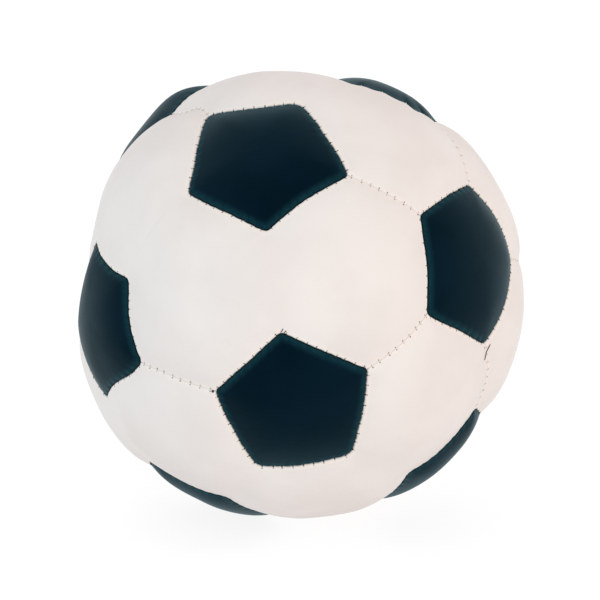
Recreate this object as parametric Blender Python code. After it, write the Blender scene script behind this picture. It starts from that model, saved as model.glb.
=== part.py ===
"""A stuffed medicine ball, sewn like a football.

Twelve dark pentagons and twenty white hexagons of leatherette are sewn edge to edge with
their seam allowances turned in. Two beds of wadding fill the cover, and a sewn bag of sand
lies at its heart. Metres, +Z up. The origin is on the floor, under the ball's centre.
"""

import itertools
import math

import bmesh
import bpy
from mathutils import Matrix, Vector

# Cover
BALL_RADIUS = 0.0750  # from the ball's centre to the crown of a panel
CROWN = 0.0015  # how far a panel's crown stands above its seams
LEATHER = 0.0012  # wall of the leatherette
EDGE_BEND = 0.0008  # inside radius at which a panel's edge turns in
ALLOWANCE = 0.0050  # seam allowance below the turned edge
SEAM_THREAD = 0.0005  # width and height of the strand along the seams

# Inside
FILL_RADIUS = 0.0450
BAG_CLOTH = 0.0006
BAG_BEND = 0.0006  # inside radius at which the bag's edge turns in
BAG_ALLOWANCE = 0.0040
BAG_THREAD = 0.0005  # diameter

# How the ball lies
REST_DENT = 0.0012  # how much the floor flattens it
PANEL_LEAN = math.radians(9.54)  # from straight down to the lowest panel's centre, towards +X
PANEL_TURN = math.radians(88.24)  # turn of the whole ball about that panel's centre

# Clearance between pieces that touch
GAP = 0.0003

# Fineness of the meshes
SIDE_SEGMENTS = 2  # along each side of a panel
REST_SEGMENTS = 6  # the same on the panel that the ball rests on
REST_RINGS = 5  # rings between that panel's centre and its edge
ROUND_STEPS = 20  # round the bag and the fill
ARC_STEPS = 5  # from the bag's pole to its rim

EDGE_ROLL = LEATHER + EDGE_BEND
SEAM_RADIUS = BALL_RADIUS - CROWN
FOOT_RADIUS = SEAM_RADIUS - EDGE_ROLL - ALLOWANCE
REST_HEIGHT = BALL_RADIUS - REST_DENT
BAG_ROLL = BAG_CLOTH + BAG_BEND
BAG_RADIUS = FILL_RADIUS + GAP + BAG_CLOTH
CORE_RADIUS = BAG_RADIUS + BAG_THREAD / 2 + GAP
GOLDEN = (1 + math.sqrt(5)) / 2


class Panel:
    """Where a panel lies on the ball: its centre, its corners and its turn."""

    def __init__(self, centre, corners, directions):
        self.centre = centre.normalized()
        self.corners = corners
        self.sides = len(corners)
        first = directions[corners[0]]
        along = (first - first.project(self.centre)).normalized()
        self.turn = Matrix((along, self.centre.cross(along), self.centre)).transposed()
        self.reach = math.tan(first.angle(self.centre))

    def share(self, offset):
        """The scale of the outline that leaves this distance to the seams all round."""
        half_width = math.atan(self.reach * math.cos(math.pi / self.sides))
        return math.tan(half_width - offset / SEAM_RADIUS) / math.tan(half_width)

    def ring(self, segments, share):
        """Directions round the panel's outline at this scale, in the panel's own axes."""
        spots = [
            self.reach * share * Vector((math.cos(turn), math.sin(turn), 0))
            for turn in (2 * math.pi * side / self.sides for side in range(self.sides))
        ]
        ring = []
        for spot, following in zip(spots, spots[1:] + spots[:1]):
            for step in range(segments):
                ring.append((spot.lerp(following, step / segments) + Vector((0, 0, 1))).normalized())
        return ring


def crown(share):
    """The cover's outer radius at this share of the way from a panel's centre to its seam."""
    return BALL_RADIUS - CROWN * share**2


def roll_angles():
    return [math.radians(angle) for angle in (0, 45, 90)]


def flattened(direction, radius, depth):
    """A point at this radius, or on the floor's plane where that is nearer, less a depth."""
    limit = REST_HEIGHT - depth
    if -direction.z * radius > limit:
        return Vector((*(direction * (limit / -direction.z)).xy, -limit))
    return direction * radius


def lay_out_panels():
    """The twelve pentagons, then the twenty hexagons, each kind from the top down."""
    tips = []
    for one, golden in itertools.product((1, -1), (GOLDEN, -GOLDEN)):
        tips += [Vector((0, one, golden)), Vector((one, golden, 0)), Vector((golden, 0, one))]
    first, second, third = Vector((0, 1, GOLDEN)), Vector((0, -1, GOLDEN)), Vector((GOLDEN, 0, 1))
    down = (first + second + third).normalized()
    along = (first - first.project(down)).normalized()
    standing = Matrix((along, along.cross(down), -down))
    lay = Matrix.Rotation(-PANEL_LEAN, 3, "Y") @ Matrix.Rotation(PANEL_TURN, 3, "Z") @ standing
    tips = [(lay @ tip).normalized() for tip in tips]

    def adjoin(one, other):
        return one != other and tips[one].dot(tips[other]) > 0.4

    pairs = [pair for pair in itertools.permutations(range(len(tips)), 2) if adjoin(*pair)]
    directions = {pair: (2 * tips[pair[0]] + tips[pair[1]]).normalized() for pair in pairs}
    panels = []
    for tip, centre in enumerate(tips):
        start = centre.orthogonal().normalized()
        across = centre.cross(start)
        near = [pair for pair in pairs if pair[0] == tip]
        near.sort(key=lambda pair: math.atan2(tips[pair[1]].dot(across), tips[pair[1]].dot(start)))
        panels.append(Panel(centre, near, directions))
    for a, b, c in itertools.combinations(range(len(tips)), 3):
        if adjoin(a, b) and adjoin(b, c) and adjoin(c, a):
            if tips[a].cross(tips[b]).dot(tips[c]) < 0:
                b, c = c, b
            corners = [(a, b), (b, a), (b, c), (c, b), (c, a), (a, c)]
            panels.append(Panel(tips[a] + tips[b] + tips[c], corners, directions))
    return sorted(panels, key=lambda panel: (panel.sides, -round(panel.centre.z, 6), panel.centre.x))


def material(name, colour, roughness):
    made = bpy.data.materials.new(name)
    made.use_nodes = True
    shader = made.node_tree.nodes["Principled BSDF"]
    shader.inputs["Base Color"].default_value = (*colour, 1)
    shader.inputs["Roughness"].default_value = roughness
    shader.inputs["Metallic"].default_value = 0
    made.diffuse_color = (*colour, 1)
    return made


def mesh_from(bm, name, finish):
    """The finished mesh, with its faces pointing out."""
    bmesh.ops.recalc_face_normals(bm, faces=bm.faces)
    mesh = bpy.data.meshes.new(name)
    bm.to_mesh(mesh)
    bm.free()
    mesh.materials.append(finish)
    mesh.shade_smooth()
    mesh.set_sharp_from_angle(angle=math.radians(35))
    return mesh


def put(name, mesh, centre, turn=None):
    """A sub-part, carried by the empty at the ball's centre."""
    part = bpy.data.objects.new(name, mesh)
    bpy.context.scene.collection.objects.link(part)
    part.parent = centre
    if turn is not None:
        part.rotation_mode = "QUATERNION"
        part.rotation_quaternion = turn.to_quaternion()
    return part


def join_rings(bm, first, second):
    """A closed band of faces between two rings of as many points."""
    for here in range(len(first)):
        there = (here + 1) % len(first)
        bm.faces.new((first[here], first[there], second[there], second[here]))


def close_ring(bm, ring, pole):
    """A fan of faces between a ring and one point."""
    for here, there in zip(ring, ring[1:] + ring[:1]):
        bm.faces.new((here, there, pole))


def panel_section(panel, rings):
    """(share, radius, depth below the outer face) from the panel's centre, round its turned
    edge and down its allowance, and back along its underside.
    """
    edge = panel.share(GAP / 2 + EDGE_ROLL)
    shares = [edge * ring / (rings + 1) for ring in range(1, rings + 1)]
    section = [(share, crown(share), 0) for share in shares]
    for angle in roll_angles():
        share = panel.share(GAP / 2 + EDGE_ROLL * (1 - math.sin(angle)))
        section.append((share, crown(share) - EDGE_ROLL * (1 - math.cos(angle)), 0))
    outer, inner = panel.share(GAP / 2), panel.share(GAP / 2 + LEATHER)
    section += [(outer, FOOT_RADIUS, 0), (inner, FOOT_RADIUS, 0), (inner, crown(inner) - EDGE_ROLL, 0)]
    section.append((edge, crown(edge) - LEATHER, LEATHER))
    section += [(share, crown(share) - LEATHER, LEATHER) for share in reversed(shares)]
    return section


def panel_mesh(name, panel, finish, segments=SIDE_SEGMENTS, rings=1, turn=None):
    """A panel with its allowances turned in. With a turn it is made in the ball's axes, where
    the floor flattens it.
    """
    bm = bmesh.new()

    def point(direction, radius, depth):
        if turn is None:
            return bm.verts.new(direction * radius)
        return bm.verts.new(flattened(turn @ direction, radius, depth))

    loops = [
        [point(direction, radius, depth) for direction in panel.ring(segments, share)]
        for share, radius, depth in panel_section(panel, rings)
    ]
    middle = Vector((0, 0, 1))
    close_ring(bm, loops[0], point(middle, BALL_RADIUS, 0))
    for first, second in itertools.pairwise(loops):
        join_rings(bm, first, second)
    close_ring(bm, loops[-1], point(middle, BALL_RADIUS - LEATHER, LEATHER))
    return mesh_from(bm, name, finish)


class Seams:
    """The sides at which panels meet, for pieces that follow the seams."""

    def __init__(self, panels, chosen):
        self.panels = panels
        self.chosen = chosen
        self.sides = {}
        self.around = {}
        for number, panel in enumerate(panels):
            for side, corner in enumerate(panel.corners):
                following = panel.corners[(side + 1) % panel.sides]
                self.sides[corner, following] = (number, side)
                self.around.setdefault(corner, []).append((number, side))

    def ring(self, bm, number, offset, radius, depth):
        """Points along a chosen panel's outline, in the ball's axes."""
        panel = self.panels[number]
        spots = panel.ring(SIDE_SEGMENTS, panel.share(offset))
        return [bm.verts.new(flattened(panel.turn @ spot, radius, depth)) for spot in spots]

    def inner_sides(self):
        """Each seam between two chosen panels once, as ((panel, side), (panel, side))."""
        for (corner, following), (number, side) in self.sides.items():
            other = self.sides[following, corner]
            if number in self.chosen and other[0] in self.chosen and number < other[0]:
                yield (number, side), other

    def outer_sides(self):
        """Each side at which a chosen panel meets one that isn't."""
        for (corner, following), (number, side) in self.sides.items():
            if number in self.chosen and self.sides[following, corner][0] not in self.chosen:
                yield number, side


def side_points(ring, side):
    """The points of a ring along one side of its panel, both corners included."""
    start = side * SIDE_SEGMENTS
    return [ring[(start + step) % len(ring)] for step in range(SIDE_SEGMENTS + 1)]


def bridge(bm, first, second):
    """Faces between two rows of as many points."""
    for (a, b), (c, d) in zip(itertools.pairwise(first), itertools.pairwise(second)):
        bm.faces.new((a, b, d, c))


def thread_levels():
    """The strand's outer and inner radius: it lies as deep in the groove as it fits clear."""
    half_width = SEAM_THREAD / 2 + GAP / 2
    floor = EDGE_ROLL - math.sqrt(2 * EDGE_ROLL * half_width - half_width**2)
    return SEAM_RADIUS - floor + SEAM_THREAD, SEAM_RADIUS - floor


def closing_seam(panels):
    """The two panels beside the seam that was closed last, by hand: the pentagon at the top
    right and the hexagon before it.
    """
    pentagons = [number for number, panel in enumerate(panels) if panel.sides == 5]
    hexagons = [number for number, panel in enumerate(panels) if panel.sides == 6]
    to_pentagon, to_hexagon = Vector((0.4, 0.3, 0.9)), Vector((0.4, -0.4, 0.8))
    pentagon = max(pentagons, key=lambda number: panels[number].centre.dot(to_pentagon))
    hexagon = max(hexagons, key=lambda number: panels[number].centre.dot(to_hexagon))
    return pentagon, hexagon


def seam_thread_mesh(panels, finish):
    """One strand in the groove along every seam but the closing one, joined at the corners."""
    bm = bmesh.new()
    closing = set(closing_seam(panels))
    seams = Seams(panels, set(range(len(panels))))
    outer, inner = thread_levels()
    rings = {}
    for number in seams.chosen:
        rings[number] = [
            seams.ring(bm, number, SEAM_THREAD / 2, radius, 0) for radius in (outer, inner)
        ]
    for (number, side), (other, other_side) in seams.inner_sides():
        near = [side_points(ring, side) for ring in rings[number]]
        far = [side_points(ring, other_side)[::-1] for ring in rings[other]]
        if {number, other} == closing:
            for end in (0, -1):
                bm.faces.new((near[0][end], far[0][end], far[1][end], near[1][end]))
            bmesh.ops.delete(bm, geom=near[0][1:-1] + near[1][1:-1] + far[0][1:-1] + far[1][1:-1])
            continue
        bridge(bm, near[0], far[0])
        bridge(bm, near[1], far[1])
        bridge(bm, *near)
        bridge(bm, *far)
    for places in seams.around.values():
        for level in (0, 1):
            bm.faces.new([rings[number][level][side * SIDE_SEGMENTS] for number, side in places])
    return mesh_from(bm, "seam_thread", finish)


def closing_thread_mesh(panels, finish):
    """The strand along the seam that was closed last, clear of the others at both ends."""
    bm = bmesh.new()
    seams = Seams(panels, set(closing_seam(panels)))
    ((number, side), (other, other_side)), = seams.inner_sides()
    rows = []
    for radius in thread_levels():
        for owner, start, backwards in ((number, side, False), (other, other_side, True)):
            ring = seams.ring(bm, owner, SEAM_THREAD / 2, radius, 0)
            row = side_points(ring, start)
            for vert in set(ring) - set(row):
                bm.verts.remove(vert)
            length = (row[-1].co - row[0].co).length
            ends = (row[0].co.lerp(row[-1].co, GAP / length), row[-1].co.lerp(row[0].co, GAP / length))
            row[0].co, row[-1].co = ends
            rows.append(row[::-1] if backwards else row)
    outer_near, outer_far, inner_near, inner_far = rows
    bridge(bm, outer_near, outer_far)
    bridge(bm, inner_near, inner_far)
    bridge(bm, outer_near, inner_near)
    bridge(bm, outer_far, inner_far)
    for end in (0, -1):
        bm.faces.new((outer_near[end], outer_far[end], inner_far[end], inner_near[end]))
    return mesh_from(bm, "closing_seam_thread", finish)


def wadding_mesh(name, panels, chosen, finish):
    """A bed of wadding behind the chosen panels: a pad fills each panel's pan, the allowances
    press grooves between the pads, and the bag's hollow is on the inside.
    """
    bm = bmesh.new()
    seams = Seams(panels, chosen)
    depth = LEATHER + GAP
    wall = GAP / 2 + depth
    floor = FOOT_RADIUS - GAP
    hollow = CORE_RADIUS / math.cos(max(math.atan(panel.reach) for panel in panels) / 2)
    feet, parting, core = {}, {}, {}
    for number in chosen:
        panel = panels[number]
        edge = panel.share(GAP / 2 + EDGE_ROLL)
        loops = []
        for share in (edge / 2, edge):
            spots = [panel.turn @ spot for spot in panel.ring(SIDE_SEGMENTS, share)]
            loops.append([bm.verts.new(flattened(spot, crown(share) - depth, depth)) for spot in spots])
        shoulder = crown(panel.share(wall)) - EDGE_ROLL - GAP
        loops.append(seams.ring(bm, number, wall, shoulder, depth))
        loops.append(seams.ring(bm, number, wall, floor, depth))
        pole = bm.verts.new(flattened(panel.centre, BALL_RADIUS - depth, depth))
        close_ring(bm, loops[0], pole)
        for first, second in itertools.pairwise(loops):
            join_rings(bm, first, second)
        feet[number] = loops[-1]
        parting[number] = seams.ring(bm, number, GAP / 2, floor, depth)
        core[number] = seams.ring(bm, number, GAP / 2, hollow, depth)
        close_ring(bm, core[number], bm.verts.new(panel.centre * hollow))
    for (number, side), (other, other_side) in seams.inner_sides():
        for rings in (feet, core):
            bridge(bm, side_points(rings[number], side), side_points(rings[other], other_side)[::-1])
    for number, side in seams.outer_sides():
        rows = [side_points(rings[number], side) for rings in (feet, parting, core)]
        bridge(bm, rows[0], rows[1])
        bridge(bm, rows[1], rows[2])
    for places in seams.around.values():
        inside = [(number, side * SIDE_SEGMENTS) for number, side in places if number in chosen]
        if len(inside) == 3:
            for rings in (feet, core):
                bm.faces.new([rings[number][spot] for number, spot in inside])
        if len(inside) == 2:
            (one, spot), (two, other) = inside
            bm.faces.new((feet[one][spot], feet[two][other], parting[two][other], parting[one][spot]))
            bm.faces.new((parting[one][spot], parting[two][other], core[two][other], core[one][spot]))
    bmesh.ops.delete(bm, geom=[vert for vert in bm.verts if not vert.link_faces])
    return mesh_from(bm, name, finish)


def turned_mesh(name, profile, finish, closed):
    """A round body from (radius, height) points. An open profile ends on the axis."""
    bm = bmesh.new()
    verts = [bm.verts.new((radius, 0, height)) for radius, height in profile]
    edges = [bm.edges.new(pair) for pair in itertools.pairwise(verts)]
    if closed:
        edges.append(bm.edges.new((verts[-1], verts[0])))
    whole = 2 * math.pi
    bmesh.ops.spin(bm, geom=verts + edges, axis=(0, 0, 1), cent=(0, 0, 0), angle=whole, steps=ROUND_STEPS)
    bmesh.ops.remove_doubles(bm, verts=bm.verts, dist=GAP / 100)
    return mesh_from(bm, name, finish)


def arc(radius, lowest):
    """Points down a quarter circle from its pole to this height."""
    start = math.asin(lowest / radius)
    angles = [math.pi / 2 + (start - math.pi / 2) * step / ARC_STEPS for step in range(ARC_STEPS + 1)]
    return [(radius * math.cos(angle) if step else 0, radius * math.sin(angle))
            for step, angle in enumerate(angles)]


def bag_half_mesh(name, side, finish):
    """Half of the bag, with its allowance turned in level with the parting plane."""
    base = GAP / 2
    profile = arc(BAG_RADIUS, base + BAG_ROLL)
    rim = profile[-1][0]
    for angle in roll_angles()[1:]:
        out = BAG_ROLL * (1 - math.cos(angle))
        profile.append((rim - out, base + BAG_ROLL * (1 - math.sin(angle))))
    foot = rim - BAG_ROLL - BAG_ALLOWANCE
    profile += [(foot, base), (foot, base + BAG_CLOTH), (rim - BAG_ROLL, base + BAG_CLOTH)]
    profile += arc(BAG_RADIUS - BAG_CLOTH, base + BAG_ROLL)[::-1]
    return turned_mesh(name, [(radius, side * height) for radius, height in profile], finish, False)


def fill_mesh(finish):
    """The sand, with a groove at its waist for the bag's allowances."""
    waist = GAP / 2 + BAG_CLOTH + GAP
    rim = math.sqrt(BAG_RADIUS**2 - (GAP / 2 + BAG_ROLL) ** 2)
    groove = rim - BAG_ROLL - BAG_ALLOWANCE - GAP
    shoulder = rim - BAG_ROLL - GAP
    upper = arc(FILL_RADIUS, waist + BAG_ROLL) + [(shoulder, waist), (groove, waist)]
    lower = [(radius, -height) for radius, height in reversed(upper)]
    return turned_mesh("weight_fill", upper + lower, finish, False)


def bag_thread_mesh(finish):
    """The ring of thread in the groove where the bag's halves meet."""
    half = BAG_THREAD / 2
    outline = [(BAG_RADIUS + half, 0), (BAG_RADIUS, half), (BAG_RADIUS - half, 0), (BAG_RADIUS, -half)]
    return turned_mesh("weight_bag_thread", outline, finish, True)


def make_cover(panels, centre):
    """The pentagons and hexagons. The lowest hexagon is the one that the ball rests on."""
    dark = material("dark_leatherette", (0.008, 0.019, 0.027), 0.45)
    white = material("white_leatherette", (0.83, 0.79, 0.77), 0.5)
    kinds = {5: ("pentagon_panel", dark), 6: ("hexagon_panel", white)}
    lowest = min(panels, key=lambda panel: panel.centre.z)
    for sides, (kind, finish) in kinds.items():
        alike = [panel for panel in panels if panel.sides == sides]
        shared = panel_mesh(kind, alike[0], finish)
        for count, panel in enumerate(alike, start=1):
            if panel is not lowest:
                put(f"{kind}_{count:02d}", shared, centre, panel.turn)
    resting = panel_mesh("resting_panel", lowest, white, REST_SEGMENTS, REST_RINGS, lowest.turn)
    put("resting_hexagon_panel", resting, centre)


def make_threads(panels, centre):
    thread = material("seam_thread", (0.55, 0.5, 0.42), 0.7)
    put("seam_thread", seam_thread_mesh(panels, thread), centre)
    put("closing_seam_thread", closing_thread_mesh(panels, thread), centre)


def make_wadding(panels, centre):
    wadding = material("wadding", (0.62, 0.58, 0.5), 0.95)
    upper = {number for number, panel in enumerate(panels) if panel.centre.z > 0}
    lower = set(range(len(panels))) - upper
    for name, chosen in (("wadding_upper", upper), ("wadding_lower", lower)):
        put(name, wadding_mesh(name, panels, chosen, wadding), centre)


def make_weight(centre):
    canvas = material("bag_canvas", (0.5, 0.44, 0.33), 0.9)
    thread = material("bag_thread", (0.72, 0.68, 0.6), 0.7)
    sand = material("sand", (0.38, 0.29, 0.19), 0.95)
    put("weight_bag_upper", bag_half_mesh("weight_bag_upper", 1, canvas), centre)
    put("weight_bag_lower", bag_half_mesh("weight_bag_lower", -1, canvas), centre)
    put("weight_bag_thread", bag_thread_mesh(thread), centre)
    put("weight_fill", fill_mesh(sand), centre)


def main():
    for old in list(bpy.data.objects):
        bpy.data.objects.remove(old)
    centre = bpy.data.objects.new("ball_centre", None)
    centre.location = (0, 0, REST_HEIGHT)
    bpy.context.scene.collection.objects.link(centre)
    panels = lay_out_panels()
    make_cover(panels, centre)
    make_threads(panels, centre)
    make_wadding(panels, centre)
    make_weight(centre)


main()
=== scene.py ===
"""The looks of the stuffed medicine ball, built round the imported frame.

The leatherette cover has twelve dark pentagons and five white strips of four hexagons each.
Under its seams and stitches lie the wadding and, at the heart, a bag of sand.
"""

import enum
import itertools
import logging
import math
from collections.abc import Callable, Sequence
from dataclasses import dataclass, field
from functools import partial

import bmesh
import bpy
import numpy as np
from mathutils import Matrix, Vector, noise
from mathutils.bvhtree import BVHTree


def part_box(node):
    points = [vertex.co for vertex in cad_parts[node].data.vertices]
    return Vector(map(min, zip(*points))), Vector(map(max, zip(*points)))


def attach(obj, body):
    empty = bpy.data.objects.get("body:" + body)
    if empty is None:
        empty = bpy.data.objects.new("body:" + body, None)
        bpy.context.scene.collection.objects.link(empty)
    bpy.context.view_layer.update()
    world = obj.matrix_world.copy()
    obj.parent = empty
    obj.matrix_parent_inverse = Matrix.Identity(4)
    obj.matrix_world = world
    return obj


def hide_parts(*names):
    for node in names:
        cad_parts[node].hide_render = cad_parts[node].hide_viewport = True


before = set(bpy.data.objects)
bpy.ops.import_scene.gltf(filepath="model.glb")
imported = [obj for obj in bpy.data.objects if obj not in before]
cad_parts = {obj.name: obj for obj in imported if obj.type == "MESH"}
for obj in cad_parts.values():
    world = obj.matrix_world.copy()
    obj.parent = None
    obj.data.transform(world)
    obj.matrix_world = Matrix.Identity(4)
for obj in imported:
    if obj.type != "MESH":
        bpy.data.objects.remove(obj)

LOG = logging.getLogger("medicine_ball")
MM = 0.001
SEED = 11
BODY = "root"
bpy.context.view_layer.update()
Faces = list[tuple[int, ...]]
Triple = tuple[float, float, float]


def in_metres(*sizes: float) -> tuple[float, ...]:
    """Sizes given in millimetres."""
    return tuple(size * MM for size in sizes)


def linked(name: str, data: bpy.types.ID) -> bpy.types.Object:
    """A new object in the scene, at the origin."""
    made = bpy.data.objects.new(name, data)
    bpy.context.scene.collection.objects.link(made)
    return made


def evaluated(piece: bpy.types.Object) -> bpy.types.Object:
    """The piece with its modifiers at work."""
    return piece.evaluated_get(bpy.context.evaluated_depsgraph_get())


def points_of(mesh: bpy.types.Mesh) -> np.ndarray:
    """A mesh's points, in rows."""
    return np.array([vertex.co for vertex in mesh.vertices])


def unit(rows: np.ndarray) -> np.ndarray:
    """Each row at length 1."""
    return rows / np.linalg.norm(rows, axis=-1, keepdims=True)


def flat_bell(away: np.ndarray, reach: float) -> np.ndarray:
    """A bell curve of a distance: 1 at no distance, falling off at the reach."""
    return np.exp(-((away / reach) ** 2))


def smooth_step(share: np.ndarray) -> np.ndarray:
    """A share, held between 0 and 1, with both its ends levelled off."""
    share = np.clip(share, 0, 1)
    return share * share * (3 - 2 * share)


def running_total(steps: np.ndarray) -> np.ndarray:
    """The steps added up one after another, from 0."""
    return np.concatenate([[0], np.cumsum(steps)])


def read_between(rows: np.ndarray, places: np.ndarray, wanted: np.ndarray) -> np.ndarray:
    """Rows that stand at some places, read at the wanted places between them."""
    return np.column_stack([np.interp(wanted, places, rows[:, axis]) for axis in range(3)])


def circle(count: int, way: int = 1) -> np.ndarray:
    """Level unit directions all round: anticlockwise from above, or clockwise if way is -1."""
    around = np.linspace(0, 2 * math.pi, count, endpoint=False) * way
    return np.column_stack([np.cos(around), np.sin(around), np.zeros(count)])


def rough(points: np.ndarray, size: float, seed: int = SEED) -> np.ndarray:
    """Smooth noise from -1 to 1 at each point.

    Args:
        points: rows in metres.
        size: the size of the noise's lumps, in metres.
        seed: moves the noise.

    Returns:
        A number for each point.
    """
    apart = 17.0
    moved = points / size + apart * seed
    return np.array([noise.noise(Vector(point)) for point in moved])


class PanelKind(enum.Enum):
    """The two cuts of leatherette panel, by their number of sides."""

    PENTAGON = 5
    HEXAGON = 6


class SeamKind(enum.Enum):
    """What a seam joins."""

    DARK_TO_WHITE = "dark to white"
    WHITE_TO_WHITE = "white to white"


@dataclass(frozen=True)
class Pull:
    """A place where the cover was sewn or stuffed a little unevenly.

    Attributes:
        towards: direction from the ball's centre to the place.
        reach: how far it spreads, in millimetres along the surface.
        rise: how far the surface stands out there, in millimetres.
        shift: how far the seams there are drawn sideways, in millimetres.
    """

    towards: Triple
    reach: float
    rise: float = 0.0
    shift: Triple = (0.0, 0.0, 0.0)

    def weight(self, directions: np.ndarray, radius: float) -> np.ndarray:
        """How much of the pull is felt at each direction, from 0 to 1."""
        away = np.linalg.norm(directions - unit(np.array(self.towards)), axis=1) * radius
        return flat_bell(away, self.reach * MM)


@dataclass
class Layout:
    """Where the panels lie, read from the frame's own nodes.

    Attributes:
        pulls: the uneven places of the cover.
        neighbours: cosine of the widest angle between two pentagons that are neighbours.
        tips: direction of each pentagon from the centre.
    """

    pulls: tuple[Pull, ...] = ()
    neighbours: float = 0.4
    centre: np.ndarray = field(init=False)
    tips: np.ndarray = field(init=False)
    radius: float = field(init=False)
    rest_height: float = field(init=False)

    def __post_init__(self) -> None:
        """Finds the ball's centre, radius and pentagons."""
        means = np.array([self.middle(f"pentagon_panel_{n:02d}") for n in range(1, 13)])
        self.centre = means.mean(axis=0)
        self.tips = unit(means - self.centre)
        points = points_of(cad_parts["pentagon_panel_01"].data)
        self.radius = float(np.linalg.norm(points - self.centre, axis=1).max())
        self.rest_height = float(self.centre[2])

    @staticmethod
    def middle(node: str) -> np.ndarray:
        """The mean of a node's different points."""
        points = points_of(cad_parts[node].data)
        return np.unique(points.round(6), axis=0).mean(axis=0)

    def adjoin(self, one: int, other: int) -> bool:
        """True if two pentagons are neighbours across a white seam."""
        return one != other and float(self.tips[one] @ self.tips[other]) > self.neighbours

    def corner(self, near: int, far: int) -> np.ndarray:
        """The direction of a pentagon's corner that points at another pentagon."""
        return unit(2 * self.tips[near] + self.tips[far])

    def around(self, tip: int) -> list[int]:
        """The pentagons round one, anticlockwise from outside.

        Args:
            tip: the pentagon in the middle.

        Returns:
            Their numbers.
        """
        middle = self.tips[tip]
        aslant = (0.31, 0.17, 0.93)
        start = unit(np.cross(middle, aslant))
        across = np.cross(middle, start)
        near = [far for far in range(len(self.tips)) if self.adjoin(tip, far)]
        return sorted(near, key=lambda far: math.atan2(self.tips[far] @ across, self.tips[far] @ start))

    def warp(self, directions: np.ndarray) -> np.ndarray:
        """The directions after uneven sewing has drawn them sideways.

        Args:
            directions: unit rows.

        Returns:
            Unit rows.
        """
        moved = directions.copy()
        for pull in self.pulls:
            weight = pull.weight(directions, self.radius)
            moved += weight[:, None] * (np.array(pull.shift) * MM) / self.radius
        return unit(moved)

    def rise(self, directions: np.ndarray) -> np.ndarray:
        """How far uneven stuffing lifts the cover at each direction, in metres."""
        lifts = (pull.rise * MM * pull.weight(directions, self.radius) for pull in self.pulls)
        return sum(lifts, np.zeros(len(directions)))


@dataclass
class Seam:
    """One sewn seam, from corner to corner.

    Attributes:
        kind: what it joins.
        line: its points, as unit directions.
        stitches: the shares of its length at which it is stitched.
        side: unit directions across it, one for each point, from the dark side to the white.
        closing: True on the seam that was closed by hand.
        sewn: False where one white strip goes straight on from hexagon to hexagon.
    """

    kind: SeamKind
    line: np.ndarray
    stitches: np.ndarray
    side: np.ndarray
    closing: bool = False
    sewn: bool = True

    def at(self, rows: np.ndarray, shares: np.ndarray) -> np.ndarray:
        """The seam's rows (its line or side) read at shares of its length."""
        return unit(read_between(rows, np.linspace(0, 1, len(rows)), shares))

    def nearness(self, reach: float, radius: float) -> np.ndarray:
        """How near each point is to a stitch, from 0 to 1.

        Args:
            reach: how far from a stitch it is felt, in metres.
            radius: the ball's radius.

        Returns:
            A number for each point of the seam.
        """
        if not self.sewn:
            return np.zeros(len(self.line))
        stitched = self.at(self.line, self.stitches)
        away = np.linalg.norm(self.line[:, None] - stitched[None], axis=2).min(axis=1)
        return flat_bell(away * radius, reach)

    def along(self, radius: float) -> np.ndarray:
        """Each point's distance along it, in metres."""
        return running_total(np.linalg.norm(np.diff(self.line, axis=0), axis=1) * radius)

    def from_end(self, radius: float) -> np.ndarray:
        """Each point's distance along it from its nearer end, in metres."""
        along = self.along(radius)
        return np.minimum(along, along[-1] - along)


@dataclass
class Panel:
    """One panel of the cover.

    Attributes:
        kind: pentagon or hexagon.
        node: the CAD node that it stands for.
        middle: the direction of its centre.
        sides: its seams in order, each with True if it runs backwards.
        half_width: angle from its centre to the middle of a side.
    """

    kind: PanelKind
    node: str
    middle: np.ndarray
    sides: list[tuple[Seam, bool]]
    half_width: float = field(init=False)

    def __post_init__(self) -> None:
        """Measures the angle from the centre to the sides."""
        middles = [seam.line[len(seam.line) // 2] for seam, _ in self.sides]
        self.half_width = float(np.mean([math.acos(self.middle @ side) for side in middles]))

    def walk(self, read: Callable[[Seam], np.ndarray]) -> np.ndarray:
        """Something of each seam's points, all round the panel, anticlockwise from outside.

        Args:
            read: gives a row or a number for each point of a seam.

        Returns:
            What it gives, with the points where two seams meet counted once.
        """
        sides = [read(seam)[::-1] if back else read(seam) for seam, back in self.sides]
        return np.concatenate([side[:-1] for side in sides])

    def folds(self) -> np.ndarray:
        """True for the edge's points on a side that isn't sewn, both its ends included."""
        marks = self.walk(lambda seam: np.full(len(seam.line), not seam.sewn))
        return marks | np.roll(marks, 1)

    def clear(self, offset: float | np.ndarray, stride: int, radius: float) -> np.ndarray:
        """The distances of a ring's points from the nearest sewing, the ring being offset in."""
        along = self.walk(lambda seam: seam.from_end(radius) * (not seam.sewn))[::stride]
        return np.hypot(offset, along)

    def ring(self, offset: float, stride: int, radius: float) -> np.ndarray:
        """Directions of a ring inside the panel's edge.

        Args:
            offset: distance in from the seam, in metres.
            stride: takes every so many of the edge's points.
            radius: the ball's radius.

        Returns:
            Unit rows.
        """
        edge = self.walk(lambda seam: seam.line)[::stride]
        flat = edge / (edge @ self.middle)[:, None] - self.middle
        share = math.tan(max(self.half_width - offset / radius, 0.0)) / math.tan(self.half_width)
        return unit(self.middle + share * flat)


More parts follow.
